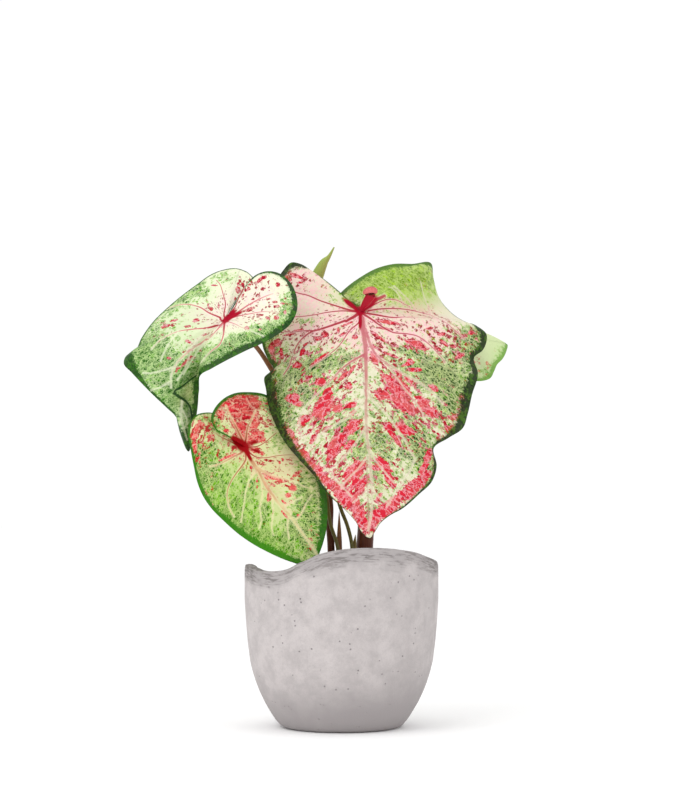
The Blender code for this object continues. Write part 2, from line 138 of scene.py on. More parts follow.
# A leaf has its slot, the columns and rows of its mesh, its tip, its junction with the stalk, the direction
# in which its face swells, and spokes from the junction to the margin, from one side of the notch to the
# other. A spoke is (across, up, back, swell) and, where it bends sideways, how far its middle is pulled
# across and up.
# veins: half width and redness, each at the start and at the end, and the places of the line. The first vein
# is the midrib, and redness below 0 is a dark line in the margin's colour: painted shade along a fold.
# ribs, on a leaf that is hidden: the spokes that veins follow, and how far.
# patches, the red islands: (across, up, half length, half width, turn in degrees).
# band: how wide the dark border is at a spoke.
# The other keys are soft spots, (across, up, reach, reach across it, turn, strength), where the ground is
# bleached pink, mottled green, bright green, mottled red, flecked with crimson, solid red, dull, or dark
# green as painted shade.
TWIG = (0.3, 0.25, 0.1, 0.1)
FAINT_TWIG = (0.3, 0.25, 0.1, 0.05)
FRONT_LEAF = {
    "slot": "rosy_blade",
    "grid": (400, 118),
    "tip": (19, 125.5),
    "junction": (13, 278, -28),
    "crown": (0, -1, 0.1),
    "spokes": (
        (-20, 306, -5, 5, 1.5, 1.5), (-28, 311, -2, 4), (-34, 312, 0, 4), (-40, 306, 1, 5),
        (-46, 294, 1, 6), (-51, 280, 0, 8), (-54, 266, -2, 9), (-53, 254, -5, 10), (-49, 245, -9, 10),
        (-46, 239.5, -12, 10), (-52, 234, -13, 10), (-51, 226, -15, 10), (-49, 214, -19, 10),
        (-45, 203, -24, 10), (-38, 190, -30, 9), (-29, 179, -36, 8), (-18, 167, -42, 7), (-8, 154, -48, 6),
        (3, 144, -52, 6), (10, 136, -55, 6), (14, 129, -58, 6), (19, 125.5, -60, 6), (22.5, 130, -58, 6),
        (26, 135.5, -56, 6), (32, 140.5, -53, 6), (41, 145.5, -50, 6), (52, 155, -46, 7), (61, 164, -41, 8),
        (64, 174, -37, 9), (62, 186, -33, 9), (72, 193, -28, 9), (82, 200, -25, 9), (85, 209, -22, 10),
        (88, 222, -18, 10), (92, 237, -14, 10), (89.5, 247.5, -12, 10), (95.5, 252.5, -10, 9),
        (98, 263, -8, 8), (91, 269, -4, 6), (84, 271.5, 6, 4), (73, 279, 22, 2, 12, -6),
        (65, 290, 34, 2, 22, -4), (62, 302, 37, 3, 20, 2), (60.5, 311.5, 30, 3, 8, 4),
        (48, 311, 23, 3, 2, 2), (36, 311, 17, 3), (24, 308, 11, 3), (13, 302, 5, 3, 1, 0),
        (4, 295.5, 0, 1, 1, 1), (-1.5, 290, -4, -2, 3, 2.5), (-4, 285, -6, -4, 3.5, 3.8),
    ),
    "veins": (
        ((1.3, 0.42, 0.55, 0.1), (13, 278), (14.5, 267.5), (16, 255.5), (16.5, 236.5), (16.5, 223.5),
            (16.5, 210), (17, 196.5), (18.5, 183.5), (19.5, 170), (20.5, 157), (20, 143.5), (18, 131.5)),
        ((0.55, 0.35, 1, 0.6), (13, 278), (4, 280), (-4, 282.5), (-14.5, 286), (-22.5, 289.5),
            (-30.5, 291.5), (-38.5, 296)),
        ((0.39, 0.28, 1, 0.55), (13, 278), (1.5, 279), (-9.5, 278), (-20, 276), (-30.5, 275), (-37, 275.5)),
        ((0.77, 0.49, 0.95, 0.5), (13, 278), (6.5, 274), (-4, 270), (-14.5, 266.5), (-21, 264.5),
            (-28.5, 258), (-32.5, 250), (-35, 242), (-38.5, 236.5)),
        ((0.3, 0.25, 0.7, 0.5), (-18.5, 265.5), (-25, 265.5), (-34.5, 264.5), (-42.5, 266), (-49, 263.5)),
        ((0.39, 0.25, 0.9, 0.4), (13, 278), (12, 271.5), (5.5, 265.5), (-1.5, 255.5), (-9.5, 248.5),
            (-21, 240.5)),
        ((0.5, 0.28, 0.55, 0.1), (15.5, 249.5), (6.5, 244.5), (0, 239.5), (-6.5, 232.5), (-14.5, 224.5),
            (-22.5, 216.5), (-28.5, 206)),
        ((0.3, 0.28, 0.1, 0.1), (-28.5, 206), (-27, 196.5), (-21, 186), (-13, 175.5), (-4, 165), (6.5, 154)),
        ((0.39, 0.25, 0.1, 0.1), (16.5, 220.5), (8, 210), (-4, 202), (-14.5, 195.5), (-21, 186)),
        ((0.33, 0.25, 0.1, 0.1), (17, 202), (12, 193), (4, 183), (-4, 174), (-9.5, 171.5)),
        ((0.33, 0.25, 0.1, 0.1), (18.5, 182), (12, 173), (4, 165), (0, 160)),
        (TWIG, (20, 162), (14.5, 155), (8.5, 150)),
        ((0.39, 0.28, 0.9, 0.5), (13, 278), (20, 279.5), (28, 280.5), (38.5, 280.5), (46.5, 279.5),
            (54.5, 277.5), (62.5, 275.5), (70.5, 272.5), (78.5, 267.5)),
        ((0.44, 0.28, 0.9, 0.5), (13, 278), (22.5, 276.5), (34.5, 274.5), (46.5, 275), (60, 274.5),
            (68, 272.5), (74.5, 267.5), (82.5, 260.5)),
        ((0.5, 0.35, 0.9, 0.4), (13, 278), (20, 273.5), (25.5, 269.5), (34.5, 264.5), (44, 263.5),
            (52, 261.5), (60, 255.5), (66.5, 248.5), (69.5, 244.5)),
        ((0.66, 0.35, 0.45, 0.15), (16, 266), (19.5, 256), (24, 248.5), (30.5, 243.5), (41.5, 236.5),
            (52, 230.5), (61.5, 223.5), (68, 216.5)),
        ((0.39, 0.28, 0.3, 0.1), (30, 243.5), (36, 235.5), (42.5, 226), (48, 219.5), (53.5, 211.5),
            (56, 204.5)),
        ((0.44, 0.28, 0.2, 0.1), (17, 224.5), (22.5, 216.5), (28, 211.5), (34.5, 203.5), (41.5, 193),
            (46.5, 183.5), (49.5, 179.5)),
        (TWIG, (19, 185), (22.5, 178), (28, 171.5), (34.5, 163.5)),
        (TWIG, (20.5, 158), (26.5, 152), (32, 149.5)),
        (TWIG, (49.5, 179.5), (45.5, 170), (37.5, 158), (30.5, 147.5)),
        ((0.44, 0.25, 0.95, 0.5), (13, 278), (21.5, 283), (29.5, 286.5), (36.5, 286.5), (41.5, 284),
            (45.5, 282)),
        ((2.7, 1.0, 1.0, 0.7), (13, 278), (18.5, 283.5), (24, 287), (28.5, 289)),
        (FAINT_TWIG, (60.5, 276), (58.5, 282), (55.5, 290), (53.5, 298)),
        (FAINT_TWIG, (49.5, 280), (45.5, 286), (40, 291.5), (36, 295.5)),
        (FAINT_TWIG, (41.5, 283.5), (38.5, 290), (33.5, 295.5)),
    ),
    "patches": (
        (-11, 263, 2.4, 2.0, 0), (-16, 260, 2.3, 1.3, 0), (-26, 251, 1.6, 2.9, -20),
        (-24, 256, 1.9, 0.9, 30), (-2, 266, 0.9, 2.1, 0), (4, 270, 4.5, 0.7, 22), (1, 263, 2.7, 0.7, 25),
        (9, 261, 1.9, 1.6, 0), (-6, 254, 1.2, 0.5, 30), (-15, 246, 6.9, 1.2, 36), (-30, 242, 2.7, 2.1, 0),
        (-45, 223, 1.5, 5.6, 3), (-14, 231, 3.3, 2.7, 15), (-33, 220, 4.3, 2.7, 0),
        (-30, 217, 4.0, 2.1, -20), (7, 239, 2.7, 1.1, 60), (2, 235, 4.5, 1.3, 40), (5, 228, 2.7, 2.1, 30),
        (-4, 233, 1.6, 0.9, 40), (-9, 223, 3.6, 2.9, 60), (-12, 214, 8.3, 4.8, 52),
        (-25, 205, 4.3, 2.7, 45), (-2, 213, 3.5, 2.3, 40), (6, 215, 3.7, 1.7, 20), (8, 210, 2.1, 1.2, 30),
        (7, 200, 7.2, 3.5, 42), (-3, 190, 8.8, 3.7, 46), (5, 188, 4.0, 1.9, 50), (-6, 181, 5.9, 2.1, 40),
        (-16, 197, 1.9, 1.2, 40), (-19, 192, 3.2, 1.6, 60), (-35, 195, 5.6, 3.2, -52),
        (-32, 188, 4.5, 2.7, -50), (-25, 182, 4.0, 2.4, -45), (-18, 171, 10.0, 4.0, -40),
        (-11, 165, 8.0, 2.7, -45), (9, 171, 8.8, 4.5, 42), (13, 160, 7.5, 2.4, 55), (9, 162, 4.5, 1.9, 50),
        (3, 153, 12.6, 4.3, -46), (12, 142, 10.6, 3.5, -70), (22, 247, 1.9, 4.3, 22),
        (32, 271, 8.3, 1.2, -10), (29, 267, 4.8, 0.8, -8), (25, 261, 6.1, 1.1, -36),
        (21, 255, 2.7, 0.8, -30), (51, 256, 6.9, 2.4, -22), (33, 249, 5.9, 0.9, -20),
        (45, 243, 4.3, 1.3, 15), (49, 239, 4.5, 1.2, 0), (46, 245, 1.9, 1.3, 0), (38, 237, 3.5, 1.2, -45),
        (45, 232, 2.9, 1.3, -35), (35, 231, 7.5, 2.1, -28), (39, 225, 9.3, 5.9, -48),
        (27, 222, 5.1, 3.5, -10), (42, 215, 8.3, 3.7, -30), (55, 217, 5.6, 2.4, -35),
        (60, 211, 6.1, 2.7, -25), (53, 213, 2.7, 1.9, 0), (62, 227, 3.5, 1.6, -40), (81, 220, 2.0, 2.4, 0),
        (77, 207, 2.9, 2.1, 0), (73, 199, 3.2, 2.7, 40), (31, 201, 2.9, 2.7, 0), (35, 194, 7.7, 1.7, -52),
        (42, 199, 6.1, 2.9, -30), (45, 197, 2.9, 1.3, 0), (28, 175, 6.4, 2.4, -40),
        (32, 166, 6.1, 2.4, -60), (58, 181, 4.5, 2.0, 62), (55, 173, 4.5, 1.9, 55), (55, 166, 5.6, 2.7, 48),
        (46, 158, 13.3, 4.0, 38), (36, 151, 8.0, 2.7, 35), (29, 144, 10.6, 4.0, 32),
        (22, 137, 8.0, 2.9, 62), (25, 153, 2.7, 1.3, 60), (23, 173, 3.2, 1.9, -20),
        (69, 257, 3.5, 1.3, -40), (65, 253, 2.9, 1.1, -30), (79, 248, 3.5, 1.6, 20), (75, 255, 2.1, 1.2, 0),
        (59, 267, 2.9, 0.9, 10), (67, 263, 2.7, 1.2, 10), (87, 264, 1.9, 1.2, 0), (-31, 303, 5.3, 1.3, -20),
        (-36, 301, 2.7, 1.2, -30), (-28, 298, 1.9, 0.8, 0), (-43, 257, 2.9, 2.4, 40),
        (-47, 253, 1.9, 2.9, 0), (-40, 250, 1.2, 3.5, 10), (-45, 245, 1.2, 2.9, 10),
        (-35, 263, 4.0, 0.8, 10), (-29, 266, 4.0, 0.7, 8),
    ),
    "band": (
        (0, 0.5), (1, 3), (2, 4.5), (3, 4), (4, 2), (5, 1.5), (7, 2), (8, 2.5), (9, 4), (10, 5), (11, 7),
        (12, 7), (13, 6), (14, 4), (15, 2.5), (16, 1.5), (17, 0.6), (18, 0.2), (22, 0.2), (24, 0.5),
        (26, 1), (27, 1.5), (28, 2.2), (29, 1.2), (30, 2), (31, 5), (32, 6), (33, 6.5), (34, 5), (35, 3),
        (36, 4), (37, 5), (38, 2), (39, 0.6), (41, 0.2), (42, 0.6), (43, 2.5), (44, 3), (45, 3.5),
        (46, 4.5), (47, 4.5), (48, 4), (49, 3), (50, 2),
    ),
    "blush": (
        (-2, 268, 26, 13, 12, 1), (40, 270, 30, 9, -6, 1), (22, 257, 14, 12, -45, 0.9),
        (-26, 294, 26, 14, 35, 1), (-38, 287, 16, 21, 0, 0.9), (60, 264, 26, 12, -25, 0.8),
        (30, 282, 26, 6, 0, 1),
    ),
    "green": (
        (-22, 240, 26, 9, 22, 0.95), (-42, 214, 9, 26, 10, 1), (-22, 222, 16, 9, 20, 0.7),
        (4, 246, 9, 4, 25, 0.7), (66, 236, 26, 13, -20, 1), (76, 217, 14, 16, 10, 0.9),
        (52, 186, 9, 24, 25, 1), (46, 252, 12, 4, -15, 0.6), (34, 245, 9, 4, -20, 0.4),
        (2, 200, 8, 7, 40, 0.6), (12, 188, 7, 9, 20, 0.7), (-14, 205, 9, 5, 45, 0.5),
        (28, 189, 5, 13, 25, 0.6), (20, 140, 4, 7, 0, 1), (84, 250, 12, 9, 0, 0.8),
        (24, 168, 3, 12, 10, 0.7), (-24, 176, 5, 5, 0, 0.3), (32, 298, 32, 14, 0, 0.95),
        (12, 295, 11, 11, 0, 1), (-36, 311, 12, 3.5, 0, 0.6), (-34, 274, 12, 4, 0, 0.3),
        (-22, 272, 9, 2.5, 8, 0.4), (52, 303, 12, 8, 0, 0.9), (92, 262, 6, 6, 0, 0.8),
        (20, 190, 60, 62, 0, 0.45), (14, 262, 3, 12, 0, 0.2), (-48, 254, 9, 12, 0, 0.9),
        (84, 262, 14, 8, 0, 0.6),
    ),
    "rosy": (
        (-10, 210, 26, 13, 48, 0.75), (0, 186, 24, 10, 46, 0.8), (-14, 172, 26, 6, -45, 0.9),
        (8, 158, 16, 9, 50, 0.9), (40, 226, 28, 12, -42, 0.75), (54, 212, 18, 9, -30, 0.7),
        (42, 196, 16, 9, -40, 0.6), (30, 170, 14, 10, -50, 0.6), (46, 156, 26, 6, 38, 0.95),
        (20, 140, 18, 12, 0, 0.7), (-36, 192, 22, 5, -52, 0.8), (-46, 224, 4, 16, 5, 0.7),
        (46, 255, 18, 7, -20, 0.7), (72, 258, 18, 9, -30, 0.55), (-28, 250, 18, 10, 30, 0.5),
        (-46, 252, 8, 12, 0, 0.8), (4, 238, 14, 7, 40, 0.8), (64, 200, 16, 12, 60, 0.5),
        (80, 214, 7, 14, 0, 0.5), (-26, 300, 14, 7, -20, 0.35), (24, 250, 6, 12, 20, 0.6),
        (-20, 232, 14, 8, 20, 0.5), (0, 160, 16, 8, -45, 0.9), (88, 262, 8, 5, 0, 0.4),
    ),
    "fresh": (
        (32, 304, 32, 16, 0, 1), (12, 295, 9, 14, -40, 1), (52, 298, 20, 18, 0, 0.9),
        (32, 293, 16, 7, 0, 1), (-50, 252, 8, 14, 0, 0.45), (24, 176, 6, 20, 10, 0.4),
    ),
    "fleck": (
        (-6, 266, 30, 11, 12, 1), (36, 270, 30, 9, -4, 1), (26, 256, 16, 9, -40, 1),
        (68, 258, 20, 11, -30, 1), (-36, 256, 14, 14, 0, 0.9), (-30, 300, 20, 9, 35, 0.5),
        (6, 232, 12, 9, 40, 0.6), (30, 200, 14, 30, 20, 0.4),
    ),
    "heart": (
        (12.5, 279, 3, 2.6, 0, 1), (6, 283.5, 8, 2.2, -38, 1), (19.5, 284.5, 8, 3.6, 42, 1),
        (12.6, 271.5, 1.5, 7, 0, 1),
    ),
}
LEFT_LEAF = {
    "slot": "green_blade",
    "grid": (360, 90),
    "tip": (-103, 184),
    "junction": (-78.5, 273, -28),
    "crown": (0.1, -0.8, 0.5),
    "spokes": (
        (-59, 301, -14, -5, -5, 2), (-64, 305.5, -10, -1, -3, 0), (-72, 308, -6, 2), (-80, 307, -3, 3),
        (-88, 304, 0, 4), (-98, 297, 1, 5), (-108, 289.5, 1, 6), (-118, 281, 0, 7), (-128, 271, -3, 8),
        (-135, 261, -7, 9), (-140, 251.5, -11, 10, -3, 1), (-145.5, 248.5, -14, 11, -4, 2),
        (-147, 243, -18, 12, -6, 3), (-142, 237.5, -20, 14, -9, 3), (-134, 229, -21, 16, -14, 4),
        (-126, 221, -21, 18, -18, 6), (-118, 213.5, -20, 20, -23, 7), (-111.5, 207, -19, 22, -28, 8),
        (-109, 197, -17, 24, -30, 9), (-103, 184, -15, 25, -34, 8), (-100.5, 194, -13, 24, -29.5, 4),
        (-99, 203, -12, 22, -23, 2.5), (-97.5, 212, -13, 20, -18, 1), (-96.5, 224, -18, 16, -11.5, -0.5),
        (-95.5, 235.5, -34, 12, -7, -2), (-88, 240, -45, 9, -4, 1), (-77, 246, -48, 8),
        (-64, 252.5, -50, 7), (-52, 258, -50, 6), (-42, 264, -48, 5), (-34, 271, -46, 4),
        (-30, 281, -44, 4), (-31, 291, -42, 4), (-36, 300, -39, 3), (-43, 305, -37, 3), (-51, 306, -35, 3),
        (-58, 303.5, -33, 3, 0.5, 0), (-64, 298, -32, 4),
    ),
    "veins": (
        ((0.77, 0.42, 0.6, 0.15), (-79, 272.5), (-87.5, 263), (-92.5, 259), (-98, 255.5), (-102, 252.5),
            (-109, 246.5), (-113, 241), (-115, 235), (-115, 228)),
        ((0.44, 0.28, 0.95, 0.5), (-79, 272.5), (-79.5, 277.5), (-78.5, 283.5), (-80, 290), (-82, 296.5),
            (-84.5, 299.5)),
        ((0.55, 0.35, 0.95, 0.35), (-79, 272.5), (-83.5, 275), (-89.5, 277.5), (-95, 281), (-101, 283),
            (-106.5, 283.5), (-112.5, 282.5), (-117.5, 280.5)),
        ((0.55, 0.35, 0.95, 0.2), (-79, 272.5), (-82.5, 270), (-91, 267.5), (-101, 266.5), (-110.5, 265),
            (-117.5, 262), (-123, 259), (-128, 253.5)),
        ((0.55, 0.35, 0.9, 0.1), (-79, 272.5), (-79.5, 267.5), (-80, 262), (-82.5, 256), (-87.5, 252),
            (-92.5, 247), (-97, 241.5)),
        ((0.72, 0.35, 0.95, 0.3), (-79, 272.5), (-73, 276), (-66, 281), (-59.5, 285), (-52.5, 288.5),
            (-47, 290.5)),
        ((0.39, 0.25, 0.9, 0.3), (-79, 272.5), (-72, 275), (-62, 277), (-52.5, 278.5), (-44, 278)),
        ((0.3, 0.25, 0.6, 0.1), (-79, 272.5), (-73, 270.5), (-67, 267.5), (-60.5, 265), (-53.5, 262)),
        ((0.39, 0.25, 1, 0.8), (-79, 272.5), (-74.5, 278.5), (-71.5, 282.5), (-70, 287.5), (-68, 291),
            (-65.5, 296), (-64, 299)),
        (TWIG, (-102, 252.5), (-104, 246), (-106.5, 239), (-110.5, 233)),
        (TWIG, (-92.5, 259), (-97, 252.5), (-102, 245), (-106.5, 237)),
        (FAINT_TWIG, (-110.5, 265), (-115.5, 258.5), (-119, 252.5), (-122, 246)),
        (FAINT_TWIG, (-115.5, 231.5), (-122, 227.5), (-128, 225.5)),
        (FAINT_TWIG, (-113, 241), (-120, 239), (-128, 237), (-133.5, 237)),
        (FAINT_TWIG, (-91, 267.5), (-95, 262), (-101, 257.5)),
        # Dark lines on the fold and the flap's edge: painted shade in the crease, and the folded lobe's dark
        # margin
        ((0.5, 0.7, -1, -1), (-95.5, 237), (-101, 233.5), (-106, 229.5), (-110, 226.5), (-113.5, 224.5)),
        ((0.7, 0.9, -1, -1), (-113.5, 224), (-110, 221), (-106, 218.5), (-102.5, 214), (-101.5, 209),
            (-101, 204), (-102, 200)),
        ((0.4, 0.3, 0.1, 0.1), (-108, 218), (-108.5, 209), (-107, 201), (-104.5, 192.5)),
        (TWIG, (-108.5, 213), (-105.5, 208), (-104.5, 203)),
    ),
    "patches": (
        (-55, 300, 2.5, 1.1, 45), (-52, 302, 1.4, 1.2, 0), (-63, 294, 1.3, 1.2, 0), (-62, 297, 0.8, 0.7, 0),
        (-53, 294, 1.4, 1.0, 20), (-56, 290, 0.9, 0.8, 0), (-43, 297, 1.5, 1.3, 40),
        (-67, 289, 0.6, 1.5, -25), (-49, 287, 2.1, 0.6, 5), (-45, 285, 1.9, 0.8, -5),
        (-40, 284, 1.9, 0.8, -10), (-43, 282, 1.4, 0.7, 0), (-62, 280, 3.5, 1.1, 20),
        (-70, 293, 1.7, 1.9, 20), (-67, 297, 1.1, 1.0, 0), (-72, 287, 0.7, 1.2, 0),
        (-54, 276, 1.5, 0.7, 10), (-50, 274, 1.4, 1.1, 0), (-44, 274, 1.8, 1.3, 0), (-64, 267, 1.4, 1.1, 0),
        (-55, 266, 0.9, 0.6, 0), (-90, 282, 0.7, 1.6, 0), (-88, 280, 1.1, 1.2, 20), (-86, 296, 1.9, 0.6, 0),
        (-98, 272, 2.2, 1.1, 5), (-93, 263, 1.8, 0.6, 15), (-103, 258, 2.3, 1.1, -20),
        (-116, 247, 1.5, 0.9, -10), (-105, 245, 5.4, 0.8, 48), (-111, 239, 1.9, 0.6, 55),
        (-83, 282, 0.6, 1.4, 0), (-70, 297, 0.9, 0.9, 0), (-67, 293, 0.7, 1.2, -20),
        (-60, 287, 1.2, 0.5, 20), (-119, 268, 2.9, 1.0, 20), (-113, 272, 2.3, 0.8, 15),
        (-104, 268, 1.9, 0.6, 5), (-38, 278, 1.0, 1.4, 0),
    ),
    "band": (
        (0, 0.3), (3, 0.6), (5, 0.8), (7, 1), (9, 1), (10, 2), (11, 6), (12, 8), (13, 5), (14, 2),
        (16, 1.2), (17, 1.5), (18, 4), (19, 6), (20, 6), (21, 5), (22, 4), (24, 3.5), (25, 3.2), (29, 3.2),
        (30, 3), (31, 2.8), (32, 2.5), (33, 1.5), (34, 1.2), (35, 1), (36, 0.8), (37, 0.6),
    ),
    "blush": (
        (-56, 287, 18, 12, 25, 0.9), (-86, 274, 20, 8, -10, 0.7), (-78, 282, 9, 12, 0, 0.7),
        (-98, 257, 16, 4, 38, 0.5),
    ),
    "green": (
        (-124, 244, 19, 24, 0, 0.85), (-112, 285, 18, 8, 32, 0.7), (-102, 296, 12, 6, 30, 0.5),
        (-78, 302, 8, 5, 0, 0.6), (-60, 262, 34, 6, 22, 0.95), (-86, 250, 12, 6, 30, 0.8),
        (-112, 222, 16, 22, 0, 1), (-100, 240, 9, 9, 40, 0.8), (-94, 291, 9, 5, 0, 0.5),
        (-36, 282, 6, 12, 0, 0.7), (-134, 250, 10, 16, -30, 1),
    ),
    "rosy": (
        (-96, 275, 14, 3, 0, 0.25), (-100, 256, 12, 3, 40, 0.4), (-120, 266, 10, 4, 20, 0.3),
        (-55, 300, 10, 4, 30, 0.4), (-104, 246, 10, 3, 50, 0.5), (-46, 284, 12, 10, 0, 0.3),
        (-66, 296, 6, 9, 0, 0.4),
    ),
    "fresh": ((-112, 250, 34, 50, 0, 0.35),),
    "bare": ((-102, 226, 12, 4.5, 55, 1), (-98.5, 222, 4, 14, 0, 1)),
    # shade: painted shade, dark bands in the margin's colour beside the fold and over the flap under it
    "shade": ((-107, 231.5, 12, 3.2, 41, 1), (-104, 211, 15, 2.4, -72, 0.9), (-105, 209, 16, 4.5, -72, 0.5)),
    "fleck": (
        (-82, 280, 14, 9, 0, 0.8), (-54, 288, 20, 13, 25, 0.7), (-90, 268, 16, 6, 0, 0.5),
        (-60, 277, 12, 6, 0, 0.9),
    ),
    "heart": ((-78, 273, 3.4, 2, 40, 1), (-75, 276.5, 6.5, 2.4, 50, 1), (-70, 277, 7, 1.6, 28, 0.8)),
}
